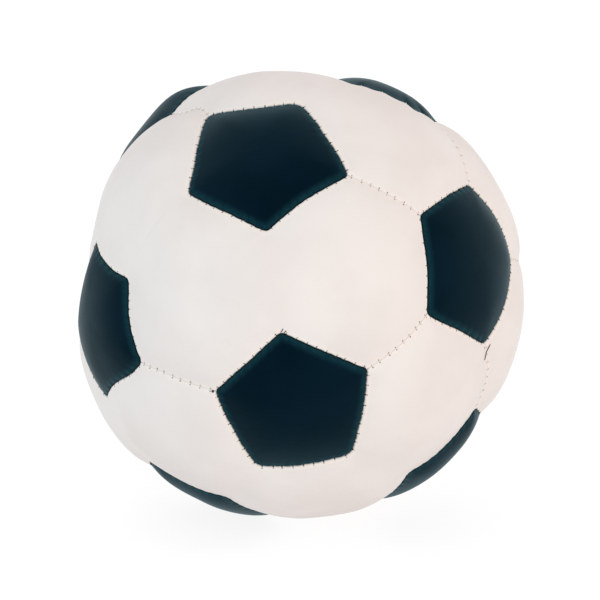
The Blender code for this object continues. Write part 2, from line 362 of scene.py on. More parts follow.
@dataclass
class SeamPlan:
    """Draws the seams: rounded at the pentagons' corners and scalloped by the stitches.

    Attributes:
        layout: the panels' places.
        pitch: distance between stitches, in metres.
        samples: pieces along each seam, a power of two.
        corner_radius: rounding of most of the pentagons' corners, in metres.
        scallop: how far a dark edge swells between stitches, in metres.
        wander: how far the needle strays, in metres.
        closing_towards: direction of the seam that was closed by hand.
        closing_pitch: distance between its stitches, in metres.
        closing_scallop: how far its edge swells between them, in metres.
        round_corners: directions of the corners that are rounder, and their radius in metres.
        corner_reach: how near its direction such a corner is, in metres.
        corner_points: points along half of a rounded corner.
        scatter: how unevenly the stitches are spaced, as a share of their pitch.
        lobe_sizes: least and greatest size of a scallop, as shares of the usual one.
        blur: how many points either way the needle's straying is averaged over.
        taper: how sharply the straying and the scallops fade at a seam's ends.
        pole_towards: direction of the pentagon that the five white strips start round.
    """

    layout: Layout
    pitch: float = 3.5 * MM
    samples: int = 64
    corner_radius: float = 1.5 * MM
    scallop: float = 0.19 * MM
    wander: float = 0.06 * MM
    closing_towards: Triple = (0.42, -0.04, 0.91)
    closing_pitch: float = 7.5 * MM
    closing_scallop: float = 2.6 * MM
    round_corners: tuple[tuple[Triple, float], ...] = (
        ((-0.36, -0.34, 0.87), 2.6 * MM), ((0.04, -0.36, 0.93), 4.0 * MM),
        ((-0.15, -0.86, -0.48), 3.6 * MM), ((0.25, -0.88, -0.41), 3.6 * MM))
    corner_reach: float = 5.0 * MM
    corner_points: int = 9
    scatter: float = 0.1
    lobe_sizes: tuple[float, float] = (0.3, 1.5)
    blur: int = 4
    taper: float = 10.0
    pole_towards: Triple = (0.79, -0.52, 0.32)
    panels: list[Panel] = field(init=False, default_factory=list)
    seams: list[Seam] = field(init=False, default_factory=list)

    def __post_init__(self) -> None:
        """Draws every seam and gathers them into panels."""
        self.random = np.random.default_rng(SEED)
        tips = self.layout.tips
        around = {tip: self.layout.around(tip) for tip in range(len(tips))}
        apex, runs = {}, {}
        for tip, fars in around.items():
            sides = self.rounded_rim(tip, fars)
            for far, after, side in zip(fars, fars[1:] + fars[:1], sides, strict=True):
                apex[tip, far] = side[0]
                runs[tip, far, after] = side
        towards = unit(np.array(self.closing_towards))
        by_hand = max(runs, key=lambda key: float(runs[key][self.samples // 2] @ towards))
        dark = {key: self.draw(SeamKind.DARK_TO_WHITE, line, tips[key[0]], key == by_hand)
                for key, line in runs.items()}
        white = {}
        shares = np.linspace(0, 1, self.samples + 1)[:, None]
        for one, other in itertools.combinations(around, 2):
            if self.layout.adjoin(one, other):
                line = unit(apex[one, other] * (1 - shares) + apex[other, one] * shares)
                white[one, other] = self.draw(SeamKind.WHITE_TO_WHITE, line, None, False,
                                              self.is_sewn(one, other))
        self.seams = [*dark.values(), *white.values()]
        self.gather(around, dark, white)

    def is_sewn(self, one: int, other: int) -> bool:
        """True if the white seam between two pentagons is sewn.

        The twenty hexagons are cut as five zig-zag strips of four. A strip runs from the pole
        to the pentagon across from it, and isn't sewn between its own hexagons.

        Args:
            one: a pentagon's number.
            other: its neighbour's number.

        Returns:
            True on a seam, False on a fold inside a strip.
        """
        tips = self.layout.tips
        pole = int(np.argmax(tips @ np.array(self.pole_towards)))
        foot = int(np.argmin(tips @ tips[pole]))
        if {one, other} & {pole, foot}:
            return True
        upper = [tip for tip in (one, other) if self.layout.adjoin(pole, tip)]
        lower = [tip for tip in (one, other) if tip not in upper]
        return len(upper) == 1 and bool(np.linalg.det(tips[[pole, *upper, *lower]]) < 0)

    def pieces(self) -> list[list[Panel]]:
        """The panels as they are cut: each pentagon alone, and the hexagons four to a strip.

        Returns:
            Groups of panels, from the highest to the lowest.
        """
        groups = [[panel] for panel in self.panels]
        for seam in self.seams:
            if not seam.sewn:
                one, other = (group for group in groups
                              if any(side is seam for panel in group for side, _ in panel.sides))
                one += other
                groups = [group for group in groups if group is not other]
        return sorted(groups, key=lambda group: -max(float(panel.middle[2]) for panel in group))

    def rounded_rim(self, tip: int, around: Sequence[int]) -> list[np.ndarray]:
        """A pentagon's sides, each from the rounded tip of one corner to that of the next.

        Args:
            tip: the pentagon.
            around: its neighbours in order.

        Returns:
            The points of each side, as unit directions.
        """
        middle = self.layout.tips[tip]
        corners = [self.layout.corner(tip, far) for far in around]
        flat = [corner / (corner @ middle) for corner in corners]
        radii = [self.radius_at(corner) / self.layout.radius for corner in corners]
        sides = []
        for n in range(len(flat)):
            before, here, there, after = (flat[(n + step) % len(flat)] for step in (-1, 0, 1, 2))
            first = self.half_corner(before, here, there, radii[n])
            last = self.half_corner(after, there, here, radii[(n + 1) % len(flat)])[::-1]
            sides.append(unit(self.respaced(np.vstack([first, last]))))
        return sides

    def radius_at(self, corner: np.ndarray) -> float:
        """The rounding of a corner, in metres.

        Args:
            corner: its direction.

        Returns:
            Its own radius if it is one of the rounder corners, or else the usual one.
        """
        nearest = math.cos(self.corner_reach / self.layout.radius)
        for towards, radius in self.round_corners:
            if corner @ unit(np.array(towards)) > nearest:
                return radius
        return self.corner_radius

    def half_corner(self, before: np.ndarray, here: np.ndarray, there: np.ndarray,
                    radius: float) -> np.ndarray:
        """Points from a rounded corner's tip to where it runs into the side.

        Args:
            before: the corner before.
            here: the corner.
            there: the corner that the side runs to.
            radius: the rounding.

        Returns:
            Rows on the pentagon's plane.
        """
        one, other = unit(before - here), unit(there - here)
        bisector = unit(one + other)
        half = math.acos(float(one @ other)) / 2
        hub = here + bisector * radius / math.sin(half)
        arm = unit(here + other * radius / math.tan(half) - hub)
        turns = np.linspace(0, 1, self.corner_points)[:, None]
        return hub + radius * unit(arm * turns - bisector * (1 - turns))

    def respaced(self, points: np.ndarray) -> np.ndarray:
        """The same path with evenly spaced points."""
        along = running_total(np.linalg.norm(np.diff(points, axis=0), axis=1))
        return read_between(points, along, np.linspace(0, along[-1], self.samples + 1))

    def draw(self, kind: SeamKind, line: np.ndarray, inward: np.ndarray | None, closing: bool,
             sewn: bool = True) -> Seam:
        """One seam, with its stitches and the scallops between them.

        Args:
            kind: what it joins.
            line: its plain points.
            inward: the dark panel's centre, or None between two white ones.
            closing: True on the seam that was closed by hand.
            sewn: False inside a white strip, where it has no stitches.

        Returns:
            The seam.
        """
        tangent = unit(np.gradient(line, axis=0))
        side = unit(np.cross(tangent, line))
        if not sewn:
            return Seam(kind, self.layout.warp(line), np.empty(0), side, sewn=False)
        length = np.linalg.norm(np.diff(line, axis=0), axis=1).sum() * self.layout.radius
        count = round(length / (self.closing_pitch if closing else self.pitch))
        scatter = self.random.uniform(-self.scatter, self.scatter, count)
        stitches = (np.arange(count) + 0.5 + scatter) / count
        shares = np.linspace(0, 1, len(line))
        bounds = np.concatenate([[-stitches[0]], stitches, [2 - stitches[-1]]])
        phase = np.interp(shares, bounds, np.arange(count + 2))
        lobe = np.minimum(phase.astype(int), count + 1)
        if inward is not None and side[len(line) // 2] @ (line[len(line) // 2] - inward) < 0:
            side = -side
        ends = np.minimum(1, self.taper * np.minimum(shares, 1 - shares))
        stray = self.random.normal(0, self.wander, count + 2)[lobe]
        span = 2 * self.blur + 1
        offset = np.convolve(np.pad(stray, self.blur, mode="edge"), np.ones(span) / span, "valid")
        if kind is SeamKind.DARK_TO_WHITE:
            swell = self.closing_scallop if closing else self.scallop
            sizes = self.random.uniform(*self.lobe_sizes, count + 2)[lobe]
            offset += swell * (np.abs(np.sin(np.pi * phase)) * sizes - 0.5)
        line = self.layout.warp(unit(line + (offset * ends / self.layout.radius)[:, None] * side))
        return Seam(kind, line, stitches, side, closing)

    def gather(self, around: dict, dark: dict, white: dict) -> None:
        """Makes the panels from their seams.

        Args:
            around: each pentagon's neighbours in order.
            dark: the pentagons' seams, by pentagon and the two neighbours that they run between.
            white: the seams between hexagons, by the two pentagons that they join.
        """
        tips = self.layout.tips
        for tip, fars in around.items():
            sides = [(dark[tip, far, fars[(n + 1) % len(fars)]], False) for n, far in enumerate(fars)]
            self.add_panel(PanelKind.PENTAGON, f"pentagon_panel_{tip + 1:02d}", tips[tip], sides)
        nodes = [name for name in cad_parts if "hexagon" in name]
        places = {name: unit(self.layout.middle(name) - self.layout.centre) for name in nodes}
        for trio in itertools.combinations(around, 3):
            if not all(self.layout.adjoin(*pair) for pair in itertools.combinations(trio, 2)):
                continue
            if np.linalg.det(tips[list(trio)]) < 0:
                trio = trio[::-1]
            sides = []
            for n in range(3):
                here, there, third = trio[n], trio[(n + 1) % 3], trio[(n + 2) % 3]
                sides.append((white[min(here, there), max(here, there)], here > there))
                sides.append((dark[there, third, here], True))
            middle = unit(tips[list(trio)].sum(axis=0))
            node = max(places, key=lambda name: float(places[name] @ middle))
            self.add_panel(PanelKind.HEXAGON, node, middle, sides)

    def add_panel(self, kind: PanelKind, node: str, middle: np.ndarray, sides: list) -> None:
        """Keeps a panel, its centre drawn sideways with its seams."""
        self.panels.append(Panel(kind, node, self.layout.warp(middle[None])[0], sides))


def bridge(outer: int, outer_count: int, inner: int, inner_count: int) -> Faces:
    """Faces between two rings of points, of the same count or with one half of the other.

    Args:
        outer: number of the first ring's first point.
        outer_count: its points.
        inner: number of the second ring's first point.
        inner_count: its points.

    Returns:
        Point numbers, anticlockwise if the rings are and the second lies inside the first.
    """
    if outer_count < inner_count:
        return [face[::-1] for face in bridge(inner, inner_count, outer, outer_count)]
    faces: Faces = []
    for k in range(inner_count):
        d, e = inner + k, inner + (k + 1) % inner_count
        if outer_count == inner_count:
            faces.append((outer + k, outer + (k + 1) % outer_count, e, d))
        else:
            a, b, c = outer + 2 * k, outer + 2 * k + 1, outer + (2 * k + 2) % outer_count
            faces += [(a, b, d), (b, e, d), (b, c, e)]
    return faces


def between_rings(rings: Sequence[np.ndarray], start: int) -> Faces:
    """Faces from each ring of points to the next.

    Args:
        rings: their points.
        start: number of the first ring's first point.

    Returns:
        Point numbers.
    """
    faces: Faces = []
    for outer, inner in itertools.pairwise(rings):
        faces += bridge(start, len(outer), start + len(outer), len(inner))
        start += len(outer)
    return faces


def fan(start: int, count: int, hub: int) -> Faces:
    """Faces from a ring of points to one point inside it."""
    return [(start + k, start + (k + 1) % count, hub) for k in range(count)]


def closed_rings(rings: Sequence[np.ndarray]) -> tuple[np.ndarray, Faces]:
    """A closed form through rings of points.

    Args:
        rings: their points, in order; the first and the last ring have one point each.

    Returns:
        Its points and its faces.
    """
    points = np.vstack(rings)
    last = len(points) - 1
    count = len(rings[-2])
    near_end = [face[::-1] for face in fan(1, len(rings[1]), 0)]
    return points, near_end + between_rings(rings[1:-1], 1) + fan(last - count, count, last)


def piece_from(name: str, points: np.ndarray, faces: Faces, material: bpy.types.Material | None,
               **attributes: np.ndarray) -> bpy.types.Object:
    """A smooth mesh object at the origin.

    Args:
        name: its name.
        points: rows in metres.
        faces: point numbers, anticlockwise from outside.
        material: its finish.
        attributes: numbers to keep at each point, by name.

    Returns:
        The object, in the scene.
    """
    mesh = bpy.data.meshes.new(name)
    mesh.from_pydata(points.tolist(), [], faces)
    mesh.polygons.foreach_set("use_smooth", np.ones(len(faces), bool))
    for label, values in attributes.items():
        vector = np.ndim(values) == 2
        layer = mesh.attributes.new(label, "FLOAT_VECTOR" if vector else "FLOAT", "POINT")
        layer.data.foreach_set("vector" if vector else "value", np.asarray(values, np.float32).ravel())
    if material:
        mesh.materials.append(material)
    return linked(name, mesh)


def hand_over(piece: bpy.types.Object, slot: str, *nodes: str) -> bpy.types.Object:
    """The piece rides on the ball's body and stands for CAD nodes, which it hides; its slot is only logged.

    Args:
        piece: the finished piece.
        slot: its finish's slot.
        nodes: the CAD nodes that it stands for, if any.

    Returns:
        The same piece.
    """
    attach(piece, BODY)
    if nodes:
        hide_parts(*nodes)
    LOG.info("%s: %d faces, %s", piece.name, len(piece.data.polygons), slot)
    return piece


class Graph:
    """A node tree while it is wired up."""

    def __init__(self, tree: bpy.types.NodeTree) -> None:
        """Empties the tree."""
        self.tree = tree
        self.tree.nodes.clear()

    def add(self, kind: str, inputs: dict | None = None, **settings: object) -> bpy.types.Node:
        """A new node.

        Args:
            kind: its type.
            inputs: values or sockets for its inputs, by name or number.
            settings: its other settings.

        Returns:
            The node.
        """
        node = self.tree.nodes.new(kind)
        for name, value in settings.items():
            setattr(node, name, value)
        for name, value in (inputs or {}).items():
            if isinstance(value, bpy.types.NodeSocket):
                self.tree.links.new(value, node.inputs[name])
            else:
                node.inputs[name].default_value = value
        return node

    def out(self, kind: str, inputs: dict | None = None, output: int | str = 0,
            **settings: object) -> bpy.types.NodeSocket:
        """One output of a new node."""
        return self.add(kind, inputs, **settings).outputs[output]

    def math(self, operation: str, *values: object) -> bpy.types.NodeSocket:
        """The result of one sum."""
        return self.out("ShaderNodeMath", dict(enumerate(values)), operation=operation)

    def ramp(self, factor: bpy.types.NodeSocket, low: float, high: float,
             start: float = 0.0, end: float = 1.0) -> bpy.types.NodeSocket:
        """A number eased from start to end as the factor goes from low to high."""
        inputs = {"Value": factor, 1: low, 2: high, 3: start, 4: end}
        return self.out("ShaderNodeMapRange", inputs, interpolation_type="SMOOTHSTEP")

    def mixed(self, factor: object, one: object, other: object) -> bpy.types.NodeSocket:
        """Two colours mixed."""
        return self.add("ShaderNodeMix", {0: factor, 6: one, 7: other}, data_type="RGBA").outputs[2]

    def place(self) -> bpy.types.NodeSocket:
        """Object coordinates."""
        return self.out("ShaderNodeTexCoord", output="Object")

    def clouds(self, place: bpy.types.NodeSocket, scale: float, detail: float,
               distortion: float = 0.0) -> bpy.types.NodeSocket:
        """Smooth noise, from 0 to 1."""
        inputs = {"Vector": place, "Scale": scale, "Detail": detail, "Distortion": distortion}
        return self.out("ShaderNodeTexNoise", inputs)

    def bump(self, height: bpy.types.NodeSocket, distance: float, strength: float,
             **under: bpy.types.NodeSocket) -> bpy.types.NodeSocket:
        """A normal bent by a height, over the normal that is given as Normal."""
        inputs = {"Strength": strength, "Distance": distance, "Height": height, **under}
        return self.out("ShaderNodeBump", inputs)

    def coat(self, inputs: dict) -> None:
        """The surface itself, wired to the material's output."""
        shader = self.out("ShaderNodeBsdfPrincipled", inputs)
        self.add("ShaderNodeOutputMaterial", {"Surface": shader})


Colour = Triple


def opaque(colour: Colour) -> tuple[float, float, float, float]:
    """A colour with full alpha."""
    return (*colour, 1.0)


def new_material(name: str) -> tuple[bpy.types.Material, Graph]:
    """An empty node material and its graph."""
    material = bpy.data.materials.new(name)
    material.use_nodes = True
    return material, Graph(material.node_tree)


@dataclass(frozen=True)
class Leatherette:
    """Coated cloth: a mottled colour, a fine grain, a painted sheen band just inside its seams and painted
    shade down in them.

    Attributes:
        name: the material's name.
        colour: its main colour.
        mottle: the colour that it wanders to.
        hem: its painted sheen, a lighter colour just inside a seam that stands in for the light its rounded
            edge catches.
        groove: its painted shade, a darker colour down in a seam where no light reaches.
        hem_reach: how far in the painted sheen band goes, in metres.
        roughness: of the coat.
        gloss: specular level.
        gloss_tint: colour of the gloss seen straight on.
        sheen: strength of the soft light at the rim.
        grain: height of the grain, in metres.
        grain_size: size of the grain, in metres.
        crease: height of the fine creases, in metres.
        crease_size: their size, in metres.
        crease_stretch: how they are squeezed along each axis.
        sheen_tint: colour of the sheen.
        cloud_scale: how many clouds of tone there are to a metre.
        streak_scale: how many streaks there are to a metre of the painted sheen band.
        groove_reach: how far from the sewing the painted groove shade goes, in metres.
    """

    name: str
    colour: Colour
    mottle: Colour
    hem: Colour
    groove: Colour
    hem_reach: float
    roughness: float
    gloss: float
    gloss_tint: Colour
    sheen: float
    grain: float
    grain_size: float
    crease: float = 0.17 * MM
    crease_size: float = 9 * MM
    crease_stretch: Triple = (1.0, 1.0, 1.0)
    sheen_tint: Colour = (1.0, 1.0, 1.0)
    cloud_scale: float = 42.0
    streak_scale: float = 900.0
    groove_reach: float = 0.4 * MM

    def make(self) -> bpy.types.Material:
        """The material."""
        material, graph = new_material(self.name)
        place = graph.place()
        cloudy = graph.clouds(place, self.cloud_scale, 4.0)
        offset = graph.out("ShaderNodeAttribute", attribute_name="seam_offset", output="Fac")
        turned = graph.out("ShaderNodeMapping", {"Vector": place, "Scale": self.crease_stretch})
        creases = graph.clouds(turned, 1.0 / self.crease_size, 5.0, 1.4)
        soft = graph.bump(creases, self.crease, 1.0)
        graph.coat({
            "Base Color": self.tone(graph, place, cloudy, offset),
            "Roughness": graph.ramp(cloudy, 0.3, 0.75, self.roughness - 0.05, self.roughness + 0.07),
            "Specular IOR Level": self.gloss, "Specular Tint": opaque(self.gloss_tint),
            "Sheen Weight": self.sheen, "Sheen Roughness": 0.5, "Sheen Tint": opaque(self.sheen_tint),
            "Normal": graph.bump(self.pebbled(graph, place), self.grain, 0.6, Normal=soft)})
        return material

    def tone(self, graph: Graph, place: bpy.types.NodeSocket, cloudy: bpy.types.NodeSocket,
             offset: bpy.types.NodeSocket) -> bpy.types.NodeSocket:
        """The colour: mottled in the middle, then a streaky painted sheen band inside the seam, then
        painted shade down in the groove.

        Args:
            graph: the material's graph.
            place: object coordinates.
            cloudy: the mottling, from 0 to 1.
            offset: distance from the sewing.

        Returns:
            The colour.
        """
        colour = graph.mixed(graph.ramp(cloudy, 0.35, 0.68), opaque(self.colour), opaque(self.mottle))
        # Painted sheen: a streaky lighter band just inside the seam, standing in for the light that the
        # rounded edge catches.
        streaks = graph.clouds(place, self.streak_scale, 3.0)
        hem = graph.math("MULTIPLY", graph.ramp(offset, self.groove_reach, self.hem_reach, 1.0, 0.0),
                         graph.ramp(streaks, 0.2, 0.7, 0.55, 1.0))
        colour = graph.mixed(hem, colour, opaque(self.hem))
        # Painted shade: a darker colour down in the seam.
        painted_groove_shade = graph.ramp(offset, self.groove_reach / 8, self.groove_reach, 1.0, 0.0)
        return graph.mixed(painted_groove_shade, colour, opaque(self.groove))

    def pebbled(self, graph: Graph, place: bpy.types.NodeSocket) -> bpy.types.NodeSocket:
        """The height of the fine grain: small pebbles, and pores between them."""
        pebbles = graph.out("ShaderNodeTexVoronoi", {"Vector": place, "Scale": 1.0 / self.grain_size},
                            feature="SMOOTH_F1")
        return graph.math("MULTIPLY_ADD", pebbles, 0.6, graph.clouds(place, 0.35 / self.grain_size, 6.0))


@dataclass(frozen=True)
class Fibre:
    """Thread, wadding, canvas or sand: a matt colour with a pattern of its own size.

    Attributes:
        name: the material's name.
        colour: the raised colour.
        shade: the colour in the hollows.
        pattern_size: size of the twist, fibres, yarns or grains, in metres.
        relief: height of the pattern, in metres.
        roughness: of the surface.
        sheen: strength of the soft light at the rim.
        woven: True for crossing yarns, False for loose fibres or grains.
        stretch: how the pattern is squeezed along each axis.
    """

    name: str
    colour: Colour
    shade: Colour
    pattern_size: float
    relief: float
    roughness: float = 0.8
    sheen: float = 0.2
    woven: bool = False
    stretch: Triple = (1.0, 1.0, 1.0)

    def make(self) -> bpy.types.Material:
        """The material."""
        material, graph = new_material(self.name)
        place = graph.place()
        turned = graph.out("ShaderNodeMapping", {"Vector": place, "Scale": self.stretch})
        if self.woven:
            pattern = self.yarns(graph, turned)
        else:
            pattern = graph.clouds(turned, 1.0 / self.pattern_size, 6.0, 0.5)
        cloudy = graph.clouds(place, 60.0, 3.0)
        raised = graph.math("MULTIPLY", graph.ramp(pattern, 0.3, 0.7),
                            graph.ramp(cloudy, 0.2, 0.7, 0.6, 1.0))
        graph.coat({
            "Base Color": graph.mixed(raised, opaque(self.shade), opaque(self.colour)),
            "Roughness": graph.ramp(pattern, 0.2, 0.8, self.roughness, self.roughness - 0.12),
            "Specular IOR Level": 0.3, "Sheen Weight": self.sheen,
            "Normal": graph.bump(pattern, self.relief, 0.8)})
        return material

    def yarns(self, graph: Graph, place: bpy.types.NodeSocket) -> bpy.types.NodeSocket:
        """The height of crossing yarns."""
        inputs = {"Vector": place, "Scale": 0.5 / self.pattern_size, "Distortion": 0.6, "Detail": 2.0}
        along_x, along_y, along_z = (
            graph.out("ShaderNodeTexWave", inputs, output="Fac", bands_direction=axis) for axis in "XYZ")
        crossed = graph.math("MAXIMUM", along_x, along_y)
        return graph.math("MULTIPLY", crossed, graph.ramp(along_z, 0.0, 1.0, 0.6, 1.0))


# In both leatherettes, hem is a painted sheen band just inside the seams and groove is painted shade down
# in them.
DARK = Leatherette(
    "dark_leatherette", colour=(0.0004, 0.003, 0.0066), mottle=(0.0009, 0.005, 0.0105),
    hem=(0.0045, 0.024, 0.032), groove=(0.0005, 0.0015, 0.0025), hem_reach=3.0 * MM,
    roughness=0.42, gloss=0.05, gloss_tint=(0.15, 0.6, 1.0), sheen=0.085, grain=0.012 * MM,
    grain_size=0.5 * MM, crease=0.05 * MM, crease_size=1.6 * MM, crease_stretch=(0.22, 0.22, 1.0),
    sheen_tint=(0.15, 0.8, 1.0))
WHITE = Leatherette(
    "white_leatherette", colour=(0.69, 0.622, 0.598), mottle=(0.66, 0.59, 0.565),
    hem=(0.72, 0.64, 0.6), groove=(0.52, 0.47, 0.44), hem_reach=2.2 * MM, roughness=0.5, gloss=0.2,
    gloss_tint=(1.0, 1.0, 1.0), sheen=0.0, grain=0.01 * MM, grain_size=0.45 * MM)
THREAD = Fibre("seam_thread", (0.72, 0.69, 0.64), (0.45, 0.41, 0.36), 0.25 * MM, 0.03 * MM, 0.7)
LOOSE_THREAD = Fibre("loose_thread", (0.006, 0.009, 0.012), (0.002, 0.003, 0.004), 0.25 * MM, 0.03 * MM,
                     0.7, sheen=0.0)
# Painted shade: the needle holes' dark cups stand in for the shade inside the holes.
HOLE_SHADE = Fibre("needle_hole", (0.065, 0.06, 0.06), (0.035, 0.033, 0.034), 0.2 * MM, 0.01 * MM, 0.9,
             sheen=0.0)
WADDING = Fibre("wadding", (0.78, 0.75, 0.69), (0.5, 0.46, 0.4), 0.9 * MM, 0.35 * MM, 0.95, 0.5,
                stretch=(1.0, 0.35, 1.0))
CANVAS = Fibre("bag_canvas", (0.52, 0.46, 0.36), (0.3, 0.25, 0.18), 0.9 * MM, 0.12 * MM, 0.85,
               woven=True)
BAG_THREAD = Fibre("bag_thread", (0.6, 0.54, 0.44), (0.35, 0.3, 0.22), 0.25 * MM, 0.03 * MM, 0.75)
SAND = Fibre("weight_fill", (0.48, 0.37, 0.23), (0.22, 0.16, 0.1), 0.5 * MM, 0.15 * MM, 0.85, sheen=0.0)


@dataclass(frozen=True)
class Stretch:
    """How the leatherette gives while it is stuffed, under the cloth settings' own names.

    The pressure is the stuffing's. The most shrinking is where the sewing shortens the seams.
    """

    quality: int = 6
    mass: float = 0.3
    tension_stiffness: float = 30.0
    compression_stiffness: float = 30.0
    shear_stiffness: float = 15.0
    bending_stiffness: float = 2.0
    use_pressure: bool = True
    uniform_pressure_force: float = 5.0
    shrink_min: float = 0.0
    shrink_max: float = 0.05


@dataclass
class Cover:
    """The shape of the stuffed cover, from a cloth simulation of its sewn panels.

    Attributes:
        plan: its seams and panels.
        seam_depth: how far the seams lie below the ball's radius, in metres.
        crown: how far a panel's middle starts above its seams, in metres.
        stretch: how the leatherette gives.
        start_share: size of the cover before it is stuffed, against its full size.
        scale: size at which the cloth is simulated, against its real size.
        slack: how much of the seams' shrinking the panels' middles share, on average.
        frames: length of the simulation.
        most_move: cap on how far a point may move, in metres.
        stride: takes every so many points of a seam for the cloth.
        step: distance between the cloth's rings, in metres.
        easing: rounds of smoothing over the cloth's wrinkles.
        kept: share of a point's own height that a round keeps.
        fullness: share of the simulated relief that is kept.
        lump: height of the stuffing's broad lumps, in metres.
        lump_size: their size, in metres.
        rest_edge: how softly the flat patch that it rests on begins, in metres.
    """

    plan: SeamPlan
    seam_depth: float = 1.3 * MM
    crown: float = 1.1 * MM
    stretch: Stretch = Stretch()
    start_share: float = 0.985
    scale: float = 10.0
    slack: float = 0.35
    frames: int = 16
    most_move: float = 4.0 * MM
    stride: int = 8
    step: float = 3.6 * MM
    easing: int = 5
    kept: float = 0.4
    fullness: float = 1.1
    lump: float = 0.35 * MM
    lump_size: float = 22 * MM
    rest_edge: float = 0.15 * MM

    def __post_init__(self) -> None:
        """Sews the panels, stuffs them and keeps the result for reading."""
        self.layout = self.plan.layout
        self.seam_radius = self.layout.radius - self.seam_depth
        cover, seam_points = self.sewn()
        self.stuff(cover, seam_points)
        self.tree = self.smoothed(cover)
        bpy.data.objects.remove(cover)

    def sewn(self) -> tuple[bpy.types.Object, np.ndarray]:
        """The panels as one closed cloth.

        Returns:
            The cloth, and True for each of its points that is on a seam.
        """
        points, on_seam, faces = [], [], []
        radius = self.layout.radius
        for panel in self.plan.panels:
            start = sum(map(len, points))
            width = panel.half_width * radius
            rings = []
            for offset in np.linspace(0, width, round(width / self.step) + 1)[:-1]:
                clear = panel.clear(offset, self.stride, radius)
                share = 1 - (1 - np.minimum(clear / width, 1)) ** 2
                height = self.seam_radius + self.crown * share
                rings.append(panel.ring(offset, self.stride, radius) * height[:, None])
                on_seam.append(clear == 0)
            faces += between_rings(rings, start)
            hub = start + sum(map(len, rings))
            faces += fan(hub - len(rings[-1]), len(rings[-1]), hub)
            points.append(np.vstack([*rings, panel.middle[None] * (self.seam_radius + self.crown)]))
            on_seam.append(np.array([False]))
        cover = piece_from("cloth_cover", np.vstack(points), faces, None, seam=np.concatenate(on_seam))
        work = bmesh.new()
        work.from_mesh(cover.data)
        bmesh.ops.remove_doubles(work, verts=work.verts, dist=0.02 * MM)
        work.to_mesh(cover.data)
        work.free()
        seam = np.zeros(len(cover.data.vertices), np.float32)
        cover.data.attributes["seam"].data.foreach_get("value", seam)
        return cover, seam > 0.5

    def stuff(self, cover: bpy.types.Object, seam_points: np.ndarray) -> None:
        """Blows the cover up from a little smaller, with the seams held short.

        Args:
            cover: the cloth, changed in place.
            seam_points: True for its points on a seam.
        """
        full = points_of(cover.data)
        stuffed = self.blown_up(cover, full * self.start_share, seam_points)
        radii = self.eased(cover, np.linalg.norm(stuffed, axis=1), seam_points)
        full_radii = np.linalg.norm(full, axis=1)
        middle = radii[seam_points].mean()
        wanted = self.seam_radius + (radii - middle) * self.fullness
        move = np.clip(wanted - full_radii, -self.most_move, self.most_move)
        LOG.info("cloth: panels stand %.2f mm above the seams, seams vary by %.2f mm",
                 (radii[~seam_points].max() - middle) / MM, radii[seam_points].std() / MM)
        rows = unit(stuffed) * (full_radii + move)[:, None]
        cover.data.vertices.foreach_set("co", rows.astype(np.float32).ravel())

    def blown_up(self, cover: bpy.types.Object, start: np.ndarray, seam_points: np.ndarray) -> np.ndarray:
        """Runs the cloth simulation.

        Args:
            cover: the cloth.
            start: where its points start.
            seam_points: True for its points on a seam.

        Returns:
            Where its points end, round their mean.
        """
        cover.data.vertices.foreach_set("co", (start * self.scale).astype(np.float32).ravel())
        group = cover.vertex_groups.new(name="seams")
        slack = self.slack + self.slack * rough(start, self.lump_size)
        for number, weight in enumerate(np.where(seam_points, 1.0, slack)):
            group.add([number], float(weight), "REPLACE")
        cloth = cover.modifiers.new("stuffing", "CLOTH")
        for setting, value in vars(self.stretch).items():
            setattr(cloth.settings, setting, value)
        cloth.settings.vertex_group_shrink = group.name
        cloth.settings.effector_weights.gravity = 0.0
        cloth.point_cache.frame_end = self.frames
        scene = bpy.context.scene
        for number in range(1, self.frames + 1):
            scene.frame_set(number)
        stuffed = points_of(evaluated(cover).data) / self.scale
        cover.modifiers.remove(cloth)
        scene.frame_set(1)
        return stuffed - stuffed.mean(axis=0)

    def eased(self, cover: bpy.types.Object, radii: np.ndarray, seam_points: np.ndarray) -> np.ndarray:
        """The points' radii with the cloth's small wrinkles taken out, as the wadding does.

        Args:
            cover: the cloth.
            radii: of its points.
            seam_points: True for its points on a seam, which stay.

        Returns:
            The new radii.
        """
        one, other = np.array([edge.vertices[:] for edge in cover.data.edges]).T
        count = np.bincount(np.concatenate([one, other]), minlength=len(radii))
        for _ in range(self.easing):
            near = np.bincount(one, radii[other], len(radii)) + np.bincount(other, radii[one], len(radii))
            radii = np.where(seam_points, radii, self.kept * radii + (1 - self.kept) * near / count)
        return radii

    def smoothed(self, cover: bpy.types.Object) -> BVHTree:
        """The cloth subdivided twice, ready for reading its radius."""
        rounding = cover.modifiers.new("rounding", "SUBSURF")
        rounding.levels = rounding.render_levels = 2
        mesh = evaluated(cover).data
        faces = [tuple(face.vertices) for face in mesh.polygons]
        return BVHTree.FromPolygons(points_of(mesh).tolist(), faces)

    def radius(self, directions: np.ndarray) -> np.ndarray:
        """The stuffed cover's radius, flat where the ball rests.

        Args:
            directions: unit rows from the ball's centre.

        Returns:
            A radius for each, in metres.
        """
        middle = Vector((0, 0, 0))
        hits = [self.tree.ray_cast(middle, Vector(row))[3] for row in directions.tolist()]
        radii = np.array([self.seam_radius if hit is None else hit for hit in hits])
        radii += self.layout.rise(directions)
        radii += self.lump * rough(directions * self.layout.radius, self.lump_size, SEED + 1)
        well_down = directions[:, 2] < -0.5
        drop = np.where(well_down, -directions[:, 2], 1.0)
        floor = np.where(well_down, self.layout.rest_height / drop, 1.0)
        edge = self.rest_edge
        return np.minimum(floor, radii) - edge * np.log1p(np.exp(-np.abs(floor - radii) / edge))


